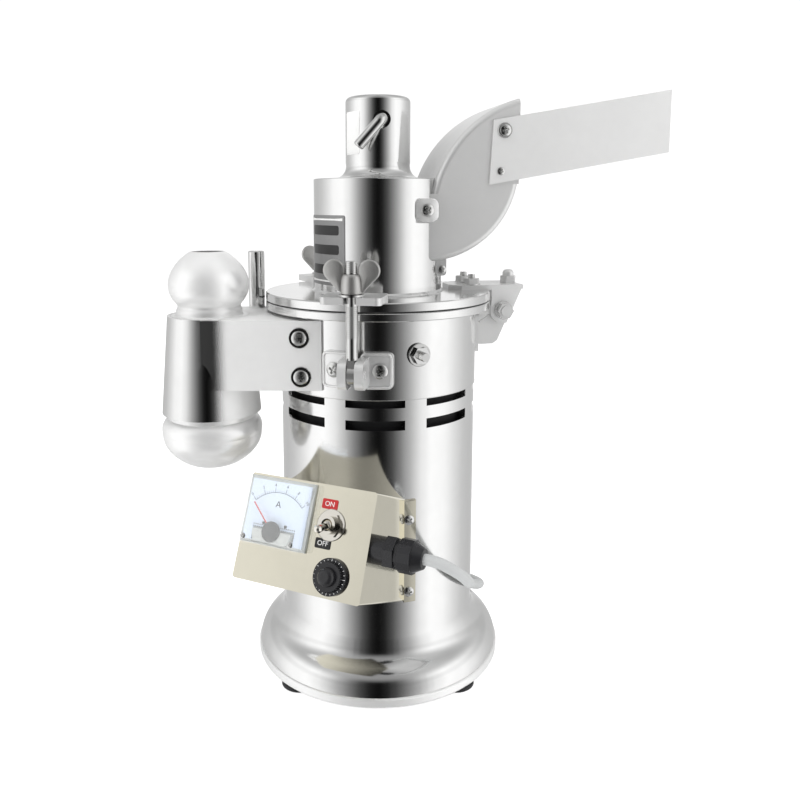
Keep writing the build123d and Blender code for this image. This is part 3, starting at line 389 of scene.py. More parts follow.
def mask_node(tree: bpy.types.NodeTree, value: object, start: float, end: float, top: float = 1.0) -> object:
    """Adds a smooth step of a value, 0 at the start and `top` at the end, and returns its socket."""
    node = tree.nodes.new("ShaderNodeMapRange")
    node.interpolation_type = "SMOOTHSTEP"
    node.inputs["From Min"].default_value, node.inputs["From Max"].default_value = start, end
    node.inputs["To Max"].default_value = top
    tree.links.new(value, node.inputs["Value"])
    return node.outputs["Result"]


def blend_node(tree: bpy.types.NodeTree, share: object, first: object, second: Colour) -> object:
    """Blends a colour, or a colour socket, towards a second colour by a share. Returns its socket."""
    node = tree.nodes.new("ShaderNodeMix")
    node.data_type = "RGBA"
    tree.links.new(share, node.inputs["Factor"])
    if isinstance(first, tuple):
        node.inputs["A"].default_value = (*first, 1)
    else:
        tree.links.new(first, node.inputs["A"])
    node.inputs["B"].default_value = (*second, 1)
    return node.outputs["Result"]


def brushing_group() -> bpy.types.ShaderNodeTree:
    """Fine drawn lines: noise read through a stretched scale, with a few deeper scratches."""
    group, entry, leave = new_group(
        "brushed lines",
        [("Vector", "NodeSocketVector", (0, 0, 0)), ("Stretch", "NodeSocketVector", (1, 1, 1))],
        [("Height", "NodeSocketFloat"), ("Scratch", "NodeSocketFloat")])
    scaled = group.nodes.new("ShaderNodeVectorMath")
    scaled.operation = "MULTIPLY"
    group.links.new(entry.outputs["Vector"], scaled.inputs[0])
    group.links.new(entry.outputs["Stretch"], scaled.inputs[1])
    lines = noise_node(group, scaled.outputs[0], 1.0, 4.0)
    coarse = noise_node(group, scaled.outputs[0], 0.31, 2.0)
    scratch = math_node(group, "GREATER_THAN", coarse, 0.66)
    depth = math_node(group, "MULTIPLY_ADD", scratch, -0.25, lines)
    group.links.new(depth, leave.inputs["Height"])
    group.links.new(coarse, leave.inputs["Scratch"])
    return group


def handling_group() -> bpy.types.ShaderNodeTree:
    """Smudges and dust: soft patches of two sizes, and sparse specks."""
    group, entry, leave = new_group(
        "handling marks",
        [("Vector", "NodeSocketVector", (0, 0, 0)), ("Scale", "NodeSocketFloat", 20.0)],
        [("Patches", "NodeSocketFloat"), ("Specks", "NodeSocketFloat")])
    broad = noise_node(group, entry.outputs["Vector"], entry.outputs["Scale"], 3.0)
    fine_scale = math_node(group, "MULTIPLY", entry.outputs["Scale"], 7.0)
    fine = noise_node(group, entry.outputs["Vector"], fine_scale, 5.0)
    mixed = math_node(group, "MULTIPLY_ADD", fine, 0.35, math_node(group, "MULTIPLY", broad, 0.65))
    group.links.new(mixed, leave.inputs["Patches"])
    speck_scale = math_node(group, "MULTIPLY", entry.outputs["Scale"], 60.0)
    speck = noise_node(group, entry.outputs["Vector"], speck_scale, 1.0)
    group.links.new(math_node(group, "GREATER_THAN", speck, 0.74), leave.inputs["Specks"])
    return group


def moulding_group() -> bpy.types.ShaderNodeTree:
    """Spark-eroded mould texture: small cells over fine noise, as one height."""
    group, entry, leave = new_group(
        "mould texture",
        [("Vector", "NodeSocketVector", (0, 0, 0)), ("Scale", "NodeSocketFloat", 900.0)],
        [("Height", "NodeSocketFloat")])
    cells = group.nodes.new("ShaderNodeTexVoronoi")
    group.links.new(entry.outputs["Vector"], cells.inputs["Vector"])
    group.links.new(entry.outputs["Scale"], cells.inputs["Scale"])
    grit = noise_node(group, entry.outputs["Vector"], entry.outputs["Scale"], 3.0)
    height = math_node(group, "MULTIPLY_ADD", grit, 0.6, cells.outputs["Distance"])
    group.links.new(height, leave.inputs["Height"])
    return group


class Pattern(Enum):
    """Surface texture of a finish."""

    BRUSHED = "brushed lines"
    MOULDED = "mould texture"


GROUPS: Dict[str, bpy.types.ShaderNodeTree] = {
    "brushed lines": brushing_group(),
    "handling marks": handling_group(),
    "mould texture": moulding_group(),
}


# ---- finishes -----------------------------------------------------------------------------
@dataclass(frozen=True)
class Finish:
    """One surface finish, with its grain, its handling marks and its gloss."""

    name: str
    colour: Colour
    metallic: float = 1.0
    roughness: float = 0.1
    spread: float = 0.04
    tint: float = 0.06
    pattern: Pattern = Pattern.BRUSHED
    stretch: Triple = (60.0, 60.0, 3200.0)
    scale: float = 900.0
    relief: float = 0.00002
    strength: float = 0.15
    marks: float = 22.0
    coat: float = 0.0
    opacity: float = 1.0
    satin_from: Pair = field(default=(0.0, 0.0))

    def build(self) -> bpy.types.Material:
        """Makes the material.

        Returns:
            A node material that reads Object coordinates.
        """
        material = bpy.data.materials.new(self.name)
        material.use_nodes = True
        tree = material.node_tree
        shader = tree.nodes["Principled BSDF"]
        coordinates = tree.nodes.new("ShaderNodeTexCoord").outputs["Object"]
        marks = tree.nodes.new("ShaderNodeGroup")
        marks.node_tree = GROUPS["handling marks"]
        marks.inputs["Scale"].default_value = self.marks
        tree.links.new(coordinates, marks.inputs["Vector"])
        relief = tree.nodes.new("ShaderNodeGroup")
        relief.node_tree = GROUPS[self.pattern.value]
        tree.links.new(coordinates, relief.inputs["Vector"])
        if self.pattern is Pattern.BRUSHED:
            relief.inputs["Stretch"].default_value = self.stretch
        else:
            relief.inputs["Scale"].default_value = self.scale
        bump = tree.nodes.new("ShaderNodeBump")
        bump.inputs["Strength"].default_value = self.strength
        bump.inputs["Distance"].default_value = self.relief
        tree.links.new(relief.outputs["Height"], bump.inputs["Height"])
        tree.links.new(bump.outputs["Normal"], shader.inputs["Normal"])
        centred = math_node(tree, "SUBTRACT", marks.outputs["Patches"], 0.5)
        rough = math_node(tree, "MULTIPLY_ADD", centred, 2 * self.spread, self.roughness)
        rough = math_node(tree, "MULTIPLY_ADD", marks.outputs["Specks"], self.spread, rough)
        if self.satin_from[1] > self.satin_from[0]:
            rough = self._add_satin(tree, coordinates, rough, shader)
        else:
            shader.inputs["Metallic"].default_value = self.metallic
        tree.links.new(rough, shader.inputs["Roughness"])
        darker = tuple(channel * (1 - 2.2 * self.tint) for channel in self.colour)
        blend = blend_node(tree, marks.outputs["Patches"], self.colour, darker)
        tree.links.new(blend, shader.inputs["Base Color"])
        shader.inputs["Coat Weight"].default_value = self.coat
        shader.inputs["Coat Roughness"].default_value = 0.12
        shader.inputs["Alpha"].default_value = self.opacity
        return material

    def _add_satin(self, tree: bpy.types.NodeTree, coordinates: object, rough: object, shader: object) -> object:
        """Turns the polish to a satin one along X, between the two places of satin_from in metres."""
        split = tree.nodes.new("ShaderNodeSeparateXYZ")
        tree.links.new(coordinates, split.inputs[0])
        mask = mask_node(tree, split.outputs["X"], *self.satin_from)
        metal = math_node(tree, "MULTIPLY_ADD", mask, -0.7, self.metallic)
        tree.links.new(metal, shader.inputs["Metallic"])
        return math_node(tree, "MULTIPLY_ADD", mask, 0.38, rough)


def moulded(name: str, colour: Colour, roughness: float, **changes: float) -> Finish:
    """A finish of moulded material: no metal, and the mould's texture."""
    return Finish(name, colour, metallic=0.0, roughness=roughness, pattern=Pattern.MOULDED, **changes)


FINISHES: Dict[str, Finish] = {
    "polished_steel": Finish("polished_stainless", (0.88, 0.88, 0.875), roughness=0.13, spread=0.03),
    "discharge_steel": Finish("discharge_stainless", (0.84, 0.84, 0.835), roughness=0.12, spread=0.03,
                              satin_from=(-0.116, -0.104)),
    "neck_steel": Finish("neck_stainless", (0.92, 0.92, 0.915), metallic=0.5, roughness=0.3, spread=0.04,
                         stretch=(300.0, 300.0, 1600.0), strength=0.25),
    "pressed_steel": Finish("pressed_steel", (0.80, 0.80, 0.795), metallic=0.45, roughness=0.3, spread=0.05,
                            stretch=(500.0, 500.0, 500.0), strength=0.2),
    "clamp_steel": Finish("clamp_stainless", (0.86, 0.86, 0.855), metallic=0.6, roughness=0.2, spread=0.04,
                          stretch=(500.0, 500.0, 500.0)),
    "satin_steel": Finish("satin_stainless", (0.73, 0.73, 0.725), metallic=0.6, roughness=0.34, spread=0.05,
                          stretch=(300.0, 300.0, 1600.0), strength=0.25),
    "panel_steel": Finish("champagne_stainless", (0.80, 0.765, 0.64), roughness=0.09, spread=0.03,
                          stretch=(1500.0, 1500.0, 120.0), strength=0.12),
    "fastener_steel": Finish("turned_steel", (0.76, 0.76, 0.75), roughness=0.16, spread=0.08,
                             stretch=(700.0, 700.0, 2600.0)),
    "cast_steel": Finish("cast_steel", (0.62, 0.615, 0.60), metallic=0.9, roughness=0.36, spread=0.08,
                         tint=0.12, pattern=Pattern.MOULDED, scale=1100.0, relief=0.00012, strength=0.45,
                         marks=90.0),
    "hammer_steel": Finish("machined_steel", (0.58, 0.58, 0.58), roughness=0.24, spread=0.08,
                           stretch=(900.0, 900.0, 900.0), marks=60.0),
    "iron_core": Finish("laminated_iron", (0.16, 0.16, 0.17), metallic=0.7, roughness=0.45,
                        stretch=(20.0, 20.0, 2000.0), strength=0.6),
    "winding_copper": Finish("varnished_copper", (0.62, 0.27, 0.12), roughness=0.28,
                             stretch=(900.0, 900.0, 900.0), relief=0.0004, strength=0.8, coat=0.5),
    "fan_plastic": moulded("fan_plastic", (0.035, 0.035, 0.04), 0.45),
    "foot_rubber": moulded("foot_rubber", (0.018, 0.018, 0.02), 0.6, spread=0.1, scale=1400.0, relief=0.0001,
                           strength=0.5),
    "gasket_rubber": moulded("gasket_rubber", (0.02, 0.02, 0.02), 0.55, scale=1800.0),
    "black_plastic": moulded("black_plastic", (0.016, 0.016, 0.018), 0.27, spread=0.06, tint=0.1,
                             scale=1600.0, relief=0.00006, strength=0.3),
    "switch_metal": Finish("nickel_plate", (0.84, 0.81, 0.74), roughness=0.11, spread=0.04,
                           stretch=(900.0, 900.0, 900.0)),
    "dial_white": moulded("dial_card", (0.70, 0.80, 0.95), 0.5, tint=0.02, scale=2500.0),
    "needle_red": moulded("needle_red", (0.62, 0.05, 0.04), 0.4),
    "clear_cover": moulded("clear_cover", (0.97, 0.985, 0.98), 0.03, spread=0.01, tint=0.0, scale=60.0,
                           relief=0.00002, strength=0.1, opacity=0.14),
    "meter_frost": moulded("meter_frost", (0.56, 0.58, 0.56), 0.3, tint=0.04, scale=1600.0, relief=0.00004,
                           strength=0.2),
    "cord_grey": Finish("lead_sheath", (0.50, 0.51, 0.51), metallic=0.0, roughness=0.42, spread=0.06,
                        stretch=(1600.0, 1600.0, 1600.0), relief=0.0003, strength=0.5),
    "label_red": moulded("label_red", (0.50, 0.018, 0.02), 0.35),
    "label_black": moulded("label_black", (0.012, 0.012, 0.012), 0.35),
    "print_white": moulded("print_white", (0.88, 0.88, 0.87), 0.4),
    "name_plate": Finish("name_plate", (0.30, 0.30, 0.30), metallic=0.5, roughness=0.34, spread=0.08,
                         tint=0.15, stretch=(200.0, 200.0, 2600.0), strength=0.4),
    # painted shade: near-black matt colour for the sleeve behind the vent slots, standing in for the shade inside
    # the motor
    "painted_shade_black": moulded("painted_shade_black", (0.008, 0.008, 0.009), 0.7),
}
MATERIALS: Dict[str, bpy.types.Material] = {}


def finish(name: str) -> bpy.types.Material:
    """The material of a finish, made at its first use."""
    if name not in MATERIALS:
        MATERIALS[name] = FINISHES[name].build()
    return MATERIALS[name]


def dress(piece: Piece, look: str, body: str = "mill") -> Piece:
    """Gives a piece its finish and the body it rides on, and reports it.

    Args:
        piece: the new piece.
        look: its finish in FINISHES.
        body: the body that carries it.

    Returns:
        The same piece.
    """
    piece.data.materials.clear()
    piece.data.materials.append(finish(look))
    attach(piece, body)
    LOG.info("%s on %s, %s", piece.name, body, look)
    return piece


# ---- what the solids carry over -----------------------------------------------------------
@dataclass
class SolidFinishes:
    """Gives every carried-over solid the finish of its record slot."""

    special: Dict[str, str] = field(default_factory=lambda: {
        "discharge_body": "discharge_steel", "powder_outlet_neck": "neck_steel", "feed_neck": "polished_steel",
        "hinge_strap": "pressed_steel", "hinge_bracket": "pressed_steel", "front_clamp_lugs": "clamp_steel",
        "rear_clamp_lugs": "clamp_steel", "meter_case": "meter_frost", "hinge_bolt": "clamp_steel",
        "base_rim": "neck_steel", "feed_tray": "pressed_steel"})

    def dress(self) -> None:
        """Fills the material slots of each solid's object."""
        slots = {entry["node"]: entry["material_slot"] for entry in frame["record"]["subparts"]}
        for node, solid in frame["nodes"].items():
            look = self.special.get(node, slots[node])
            if not solid.material_slots:
                solid.data.materials.append(finish(look))
            for holder in solid.material_slots:
                holder.link = "OBJECT"
                holder.material = finish(look)
            LOG.info("%s keeps its solid, %s", node, look)


# ---- fasteners ----------------------------------------------------------------------------
@dataclass
class Fasteners:
    """Screws, washers, threads and wing nuts that stand on the mill's panels."""

    hinge_azimuth: float = 100.5
    clamp_azimuths: Tuple[Tuple[str, float], ...] = (("front", -10.9), ("rear", 211.9))
    clamp_reach: float = 92.0
    clamp_height: float = 243.3
    plate_radius: float = 78.5
    plate_offset: float = 14.0
    head_radius: float = 5.3
    head_height: float = 2.4
    duct_screws: Tuple[Place, ...] = (("upper", -55.1, 264.4), ("lower", -54.0, 236.6))
    bolt_threads: Tuple[Place, ...] = (("lower", 268.0, 23.0), ("upper", 311.2, 8.6))
    box_sides: Tuple[Tuple[str, float], ...] = (("right", 16.9), ("left", -66.7))
    box_levels: Tuple[Tuple[str, float], ...] = (("upper", 134.2), ("lower", 80.2))
    nut_hub: Profile = ((4.5, 298.3), (7.1, 298.3), (7.3, 298.9), (7.15, 303.0), (6.9, 307.5), (6.3, 310.0),
                        (5.4, 311.3), (4.5, 311.5))
    wing_circles: Tuple[Triple, ...] = ((11.9, 313.8, 7.4), (7.5, 301.5, 2.0), (6.9, 304.0, 2.0))
    wing_layers: Profile = ((1.3, -1.8), (0.5, -1.5), (0.1, -1.0), (0.0, -0.4), (0.0, 0.4), (0.1, 1.0), (0.5, 1.5),
                            (1.3, 1.8))

    stud_place: Triple = (21.9, 75.5, 253.4)
    lug_place: Triple = (45.0, 27.5, 352.6)
    clip_place: Triple = (28.5, 42.0, 311.0)
    strap_reach: float = 71.8
    strap_side: float = 11.0
    strap_height: float = 294.8

    def screw(self, name: str, axes: Axes, radius: float, body: str) -> None:
        """One cross-slot screw at its own turn."""
        turn = sum(ord(letter) for letter in name) * 13 % 90
        head = cross_screw(name, axes.turned(turn), radius, self.head_height * radius / self.head_radius)
        dress(head, "fastener_steel", body)

    def washer(self, name: str, axes: Axes, radius: float, body: str) -> None:
        """A flat washer under a screw."""
        profile = [(0, -0.2), (radius, -0.2), (radius, 0.5), (radius - 0.35, 0.8), (0, 0.8)]
        dress(revolved(name, axes, profile, 40), "fastener_steel", body)

    def build_discharge(self) -> None:
        """Two screws with washers on each face of the discharge duct."""
        faces = (("front", 1, Axes((0, -66, 0), (1, 0, 0), (0, 0, 1))),
                 ("back", -1, Axes((0, 12, 0), (-1, 0, 0), (0, 0, 1))))
        for side, sign, face in faces:
            for level, x, z in self.duct_screws:
                at = face.moved(sign * x, z)
                self.washer(f"duct_washer_{side}_{level}", at, 7.4, "mill")
                self.screw(f"duct_screw_{side}_{level}", at.moved(out=0.8), 5.2, "mill")

    def build_clamps(self) -> None:
        """Screws and beads on the clamp plates, and the threads of the swing bolts."""
        turned = self.plate_offset / self.plate_radius * DEGREE
        for side, azimuth in self.clamp_azimuths:
            for hand, sign in HANDS:
                at = wall_axes(azimuth + sign * 12.0, 78.4, self.clamp_height)
                self.screw(f"{side}_clamp_screw_{hand}", at, self.head_radius, "mill")
                self.border(f"{side}_clamp_border_{hand}", azimuth + sign * turned)
            x, y, _ = outward(azimuth) * self.clamp_reach
            for part, low, length in self.bolt_threads:
                thread = threaded(f"{side}_bolt_thread_{part}", level_axes(x, y, low), 4.28, 0.36, 1.25, length)
                dress(thread, "fastener_steel", f"{side}_clamp_bolt")

    def border(self, name: str, azimuth: float) -> None:
        """A raised bead round a clamp plate: a small circle swept along the plate's bent outline."""
        line = close_set(rounded_outline(20.6, 23.8, 3.2), 1.0)
        way = np.roll(line, -1, axis=0) - np.roll(line, 1, axis=0)
        way /= np.linalg.norm(way, axis=1, keepdims=True)
        across = np.stack([way[:, 1], -way[:, 0]], axis=-1)
        bead = 0.85
        turn = circle(10)
        flat = line[:, None] + bead * np.cos(turn)[None, :, None] * across[:, None]
        around = self.plate_radius + 0.1 + bead * np.sin(turn)[None, :] * np.ones((len(line), 1))
        bent = bend(flat, around, azimuth, self.plate_radius, self.clamp_height)
        dress(grid_object(name, np.concatenate([bent, bent[:1]]), 60.0), "clamp_steel", "mill")

    def build_wing_nuts(self) -> None:
        """Cast wing nuts: a turned hub and two wings, each the outline round a tip and two root circles."""
        hub = smooth_profile(self.nut_hub, 2) + [self.nut_hub[0]]
        for side, azimuth in self.clamp_azimuths:
            x, y, _ = outward(azimuth) * self.clamp_reach
            nut = f"{side}_wing_nut"
            made = [revolved(f"{side}_nut_hub", level_axes(x, y, 0), hub)]
            for hand, sign in HANDS:
                outline = hull_outline([(sign * aside, up, radius) for aside, up, radius in self.wing_circles])
                at = wall_axes(azimuth, self.clamp_reach, 0)
                made.append(layered(f"{side}_nut_wing_{hand}", at, outline, self.wing_layers, 50.0))
            for piece in made:
                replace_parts(dress(piece, "cast_steel", nut), nut)

    def build_stud(self) -> None:
        """Spring washer and threaded tip of the stud on the chamber wall."""
        at = wall_axes(*self.stud_place)
        tip = threaded("stud_thread", at.moved(out=5.6), 3.2, 0.35, 1.0, 6.6)
        dress(tip, "fastener_steel", "mill")
        profile = [(6.6, 0.9), (8.2, 0.9), (8.2, 2.0), (7.8, 2.3), (6.6, 2.3), (6.6, 0.9)]
        dress(revolved("stud_spring_washer", at, profile, 40), "fastener_steel", "mill")

    def build_box_screws(self) -> None:
        """Flange screws of the control box."""
        for hand, azimuth in self.box_sides:
            for level, z in self.box_levels:
                self.screw(f"box_screw_{hand}_{level}", wall_axes(azimuth, 76.4, z), 3.6, "mill")

    def build_feed_screws(self) -> None:
        """Screws of the hopper lug, the tray cheeks and the small clip under the hopper."""
        body, slot = "lid", "satin_steel"
        lug = side_axes(self.hinge_azimuth, self.lug_place[0]).moved(*self.lug_place[1:])
        cover = layered("hopper_lug_plate", lug.moved(out=-0.6), rounded_outline(16.8, 16.8, 5.0, 10),
                        [(0.3, 0), (0, 0.3), (0, 1.1), (0.25, 1.5), (0.8, 1.7)])
        dress(cover, "clamp_steel", body)
        self.screw("hopper_lug_screw", lug.moved(out=1.0), 4.6, body)
        out = outward(self.hinge_azimuth)
        front = side_axes(self.hinge_azimuth, 39.55)
        back = Axes(tuple(np.array([out[1], -out[0], 0]) * -31.55), tuple(-out), (0.0, 0.0, 1.0))
        self.washer("tray_washer_front", front.moved(86.5, 409.9), 5.6, body)
        for side, sign, cheek, raised in (("front", 1, front, 0.8), ("back", -1, back, 0.0)):
            self.screw(f"tray_screw_{side}_upper", cheek.moved(sign * 86.5, 409.9, raised), 4.3, body)
            self.screw(f"tray_screw_{side}_lower", cheek.moved(sign * 84.0, 380.6), 2.9, body)
        clip = side_axes(self.hinge_azimuth, self.clip_place[0]).moved(*self.clip_place[1:])
        layers = [(0.3, 0), (0, 0.3), (0, 2.2), (0.4, 2.6)]
        dress(layered("hopper_clip", clip, rounded_outline(8.4, 14.0, 2.4), layers), slot, body)
        self.screw("hopper_clip_screw", clip.moved(0.6, -2.4, 2.6), 3.1, body)

    def build_hinge(self) -> None:
        """Threads above the hinge strap's nuts and washers below them."""
        out, across = outward(self.hinge_azimuth), outward(self.hinge_azimuth + 90)
        for name, side in (("near", -self.strap_side), ("far", self.strap_side)):
            x, y, _ = out * self.strap_reach + across * side
            at = level_axes(x, y, self.strap_height)
            self.washer(f"strap_washer_{name}", at, 6.9, "lid")
            thread = threaded(f"strap_thread_{name}", at.moved(out=4.8), 2.9, 0.3, 1.0, 3.4)
            dress(thread, "fastener_steel", "lid")

    def build(self) -> None:
        """Builds every fastener."""
        for step in (self.build_discharge, self.build_clamps, self.build_wing_nuts, self.build_stud,
                     self.build_box_screws, self.build_feed_screws, self.build_hinge):
            step()


# ---- control panel ------------------------------------------------------------------------
@dataclass
class ControlPanel:
    """Meter face, switch labels and breaker ring of the slanted panel."""

    azimuth: float = -24.9
    reach: float = 118.3
    height: float = 137.6
    pitch: float = 23.66
    meter_place: Pair = (-21.6, 11.6)
    switch_place: Pair = (19.0, 10.0)
    breaker_place: Pair = (25.5, -21.8)
    pivot_drop: float = -12.5
    scale_radius: float = 25.5
    scale_span: Pair = (45.0, 135.0)
    numbers: Tuple[str, ...] = ("0", "2", "4", "6", "8", "10")

    @property
    def axes(self) -> Axes:
        """Axes of the panel's face: x to the right, y up the slope, normal outwards."""
        out = outward(self.azimuth)
        tilt = math.radians(self.pitch)
        up = -out * math.sin(tilt) + np.array([0, 0, math.cos(tilt)])
        origin = out * self.reach + np.array([0, 0, self.height])
        return Axes(tuple(origin), (-out[1], out[0], 0.0), tuple(up))

    def build_scale(self, pivot: Axes) -> None:
        """Scale arc, ticks and numbers round the needle's pivot, and the unit's letter."""
        arc = arc_band("meter_scale_arc", pivot, self.scale_radius, self.scale_radius + 0.3, self.scale_span,
                       (0.0, 0.08))
        dress(arc, "label_black", "mill")
        right, left = self.scale_span
        tick = np.arange(26)
        angle = np.radians(left - (left - right) * tick / 25)
        long_tick = tick % 5 == 0
        length = np.where(long_tick, 3.2, 1.7)
        bars = ring_bars(angle, self.scale_radius + length / 2, length, np.where(long_tick, 0.35, 0.2))
        dress(bar_field("meter_ticks", pivot, bars, 0.0, 0.08), "label_black", "mill")
        for index, words in enumerate(self.numbers):
            turn = left - (left - right) * index / 5
            at = pivot.moved((self.scale_radius + 5.1) * math.cos(math.radians(turn)),
                             (self.scale_radius + 5.1) * math.sin(math.radians(turn)))
            number = lettering(f"meter_number_{words}", at.turned(turn - 90), words, 3.0, 0.06)
            dress(number, "label_black", "mill")
        dress(lettering("meter_unit", pivot.moved(0, 17.6), "A", 6.4, 0.1), "label_black", "mill")

    def build_meter(self) -> None:
        """Scale, coil window, dotted screen, needle stops and cover screws of the ammeter."""
        pivot = self.axes.moved(*self.meter_place, out=3.0).moved(0, self.pivot_drop)
        self.build_scale(pivot)
        profile = [(0, 0.0), (6.8, 0.0), (6.8, 1.0), (6.3, 1.3), (0, 1.3)]
        window = revolved("meter_coil_window", pivot.moved(0, -0.5, 3.05), profile)
        dress(window, "label_black", "mill")
        column, row = np.meshgrid(np.arange(-16, 16.1, 1.6), np.arange(-6.8, 3.0, 1.6))
        size = np.full(column.size, 0.7)
        dots = np.stack([column.ravel(), row.ravel(), size, size, size * 0], axis=-1)
        dress(bar_field("meter_screen", pivot, dots, 0.1, 0.2), "label_black", "mill")
        for hand, sign in HANDS:
            stop = revolved(f"meter_stop_{hand}", pivot.moved(sign * 8.6, 4.2),
                            [(0, 0), (1.1, 0), (1.1, 0.3), (0, 0.3)], 20)
            dress(stop, "label_black", "mill")
        cover = self.axes.moved(*self.meter_place, out=10.5)
        for hand, sign in HANDS:
            head = cross_screw(f"meter_screw_{hand}", cover.moved(sign * 18.5, -18.6), 1.9, 0.8)
            dress(head, "fastener_steel", "mill")

    def build_labels(self) -> None:
        """The ON and OFF label plates round the toggle switch, and the nut's washer."""
        x, y = self.switch_place
        layers = [(0.2, 0), (0, 0.1), (0, 0.35), (0.2, 0.5)]
        for words, look, left, up in (("ON", "label_red", -3.4, 13.2), ("OFF", "label_black", -3.6, -12.4)):
            at = self.axes.moved(x + left, y + up)
            plate = layered(f"switch_plate_{words}", at, rounded_outline(11.6, 6.6, 1.0), layers)
            dress(plate, look, "mill")
            raised = lettering(f"switch_word_{words}", at.moved(out=0.5), words, 4.6, 0.12)
            dress(raised, "print_white", "mill")
        profile = [(6.0, 0.0), (10.4, 0.0), (10.4, 0.5), (10.0, 0.8), (6.0, 0.8), (6.0, 0.0)]
        dress(revolved("switch_washer", self.axes.moved(x, y), profile), "switch_metal")

    def build_breaker(self) -> None:
        """Grip ribs and index marks round the breaker's collar."""
        at = self.axes.moved(*self.breaker_place)
        turn = circle(36)
        dress(bar_field("breaker_ribs", at, ring_bars(turn, 9.3, 0.7, 0.8), 3.0, 5.7), "black_plastic")
        turn = circle(24)
        marks = ring_bars(turn, 10.7, np.where(np.arange(24) % 6 == 0, 1.6, 0.9), 0.3)
        dress(bar_field("breaker_marks", at, marks, 2.95, 3.05), "print_white", "mill")

    def build(self) -> None:
        """Builds the panel's details."""
        self.build_meter()
        self.build_labels()
        self.build_breaker()


# ---- body details -------------------------------------------------------------------------
@dataclass
class BodyDetails:
    """Blank plates, the air outlet's neck, the feet's skirts, seam beads and a near-black sleeve behind the vents
    that paints the shade inside the housing.
    """

    feed_radius: float = 48.9
    neck_radius: float = 24.5
    outlet_place: Pair = (-124.0, -33.0)
    outlet_bottom: float = 204.5
    outlet_top: float = 276.4
    foot_reach: float = 82.0
    feet: Tuple[Tuple[str, float], ...] = (("front_right", 45), ("rear_right", 135), ("rear_left", 225),
                                           ("front_left", 315))
    plate_bars: Tuple[Tuple[str, str, Pair, Pair], ...] = (
        ("top", "print_white", (-76.5, -30.7), (345.2, 346.4)),
        ("bottom", "print_white", (-76.5, -30.7), (300.4, 301.6)),
        ("first", "label_black", (-73.0, -34.5), (334.5, 341.5)),
        ("second", "label_black", (-73.0, -34.5), (320.5, 327.5)),
        ("third", "label_black", (-73.0, -34.5), (306.0, 313.0)))
    beads: Tuple[Tuple[str, float, float, str], ...] = (
        ("housing_seam", 75.35, 221.7, "mill"), ("feed_foot_bead", 50.2, 291.6, "lid"))
    air_neck: Profile = (
        (28.2, 0.0), (24.1, 0.0), (24.1, 3.6), (23.6, 5.0), (22.8, 6.3), (23.1, 8.0), (25.6, 10.8), (28.3, 15.5),
        (29.4, 21.5), (28.6, 28.0), (25.6, 34.5), (20.8, 40.4), (16.5, 44.0), (13.4, 46.2), (12.2, 46.6),
        (11.4, 45.6), (18.0, 39.6), (25.0, 30.0), (27.0, 21.5), (24.0, 13.0), (20.4, 6.0), (20.1, -2.4))
    foot_skirt: Profile = ((0.0, 0.1), (13.6, 0.1), (14.2, 0.6), (13.8, 2.6), (12.6, 3.5), (0.0, 3.7))

    def curved_plate(self, name: str, radius: float, span: Pair, heights: Pair,
                     thickness: float) -> Piece:
        """A thin plate bent round the motor axis: a rounded rectangle wrapped by azimuth = s / radius."""
        width = math.radians(span[1] - span[0]) * radius
        outline = close_set(rounded_outline(width, heights[1] - heights[0], 1.6), 1.0)
        reach = np.linalg.norm(outline, axis=1, keepdims=True)
        rows = [np.concatenate([outline * (1 - inset / reach), np.full_like(reach, level)], axis=1)
                for inset, level in ((0.0, 0.0), (0.0, thickness * 0.6), (0.25, thickness))]
        steps = np.linspace(1, 0, 14)[1:, None, None]
        inner = rows[-1][None] * np.concatenate([steps, steps, np.ones_like(steps)], axis=-1)
        grid = np.concatenate([np.stack(rows), inner])
        bent = bend(grid[..., :2], radius + grid[..., 2], sum(span) / 2, radius, sum(heights) / 2)
        return grid_object(name, bent, 40.0)

    def build_plates(self) -> None:
        """The blank name plate with its border and bars, and the blank label on the neck."""
        plate = self.curved_plate("blank_name_plate", self.feed_radius, (-78.5, -28.7), (297.9, 348.9), 0.7)
        dress(plate, "name_plate", "lid")
        for name, look, span, heights in self.plate_bars:
            bar = self.curved_plate(f"name_plate_bar_{name}", self.feed_radius + 0.6, span, heights, 0.2)
            dress(bar, look, "lid")
        label = self.curved_plate("blank_label", self.neck_radius, (-70.0, -33.0), (393.0, 424.0), 0.25)
        dress(label, "print_white", "lid")

    def build_outlets(self) -> None:
        """The air outlet's round neck on its flange, and the ring round the powder outlet."""
        x, y = self.outlet_place
        flange = [(20.1, -2.4), (28.2, -2.4), (28.2, 0.0)]
        neck = revolved("air_neck", level_axes(x, y, self.outlet_top), smooth_profile(self.air_neck) + flange, 96)
        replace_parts(dress(neck, "neck_steel", "mill"), "air_outlet_neck")
        ring = [(30.4, 0.0), (34.2, 0.0), (34.2, 2.4), (30.4, 2.4), (30.4, 0.0)]
        ring_piece = revolved("powder_flange", level_axes(x, y, self.outlet_bottom), ring, 96)
        dress(ring_piece, "neck_steel", "mill")

    def build(self) -> None:
        """Builds the plates, the outlets, the feet's skirts, the near-black sleeve of painted shade behind the
        vents and the seam beads.
        """
        self.build_plates()
        self.build_outlets()
        for corner, azimuth in self.feet:
            x, y, _ = outward(azimuth) * self.foot_reach
            dress(revolved(f"foot_skirt_{corner}", level_axes(x, y, 0), self.foot_skirt), "foot_rubber")
        centre = level_axes(0, 0, 0)
        # painted shade: a near-black matt sleeve inside the housing, behind the vent slots, stands in for the
        # shade there
        shade_sheet = revolved("vent_painted_shade", centre, [(66, 186), (68, 186), (68, 221.0), (66, 221.0), (66, 186)], 96)
        dress(shade_sheet, "painted_shade_black", "mill")
        turn = circle(12)
        for name, radius, height, body in self.beads:
            profile = [(radius + 0.35 * math.cos(t), height + 0.35 * math.sin(t)) for t in turn]
            dress(revolved(name, centre, profile + profile[:1], 128), "polished_steel", body)


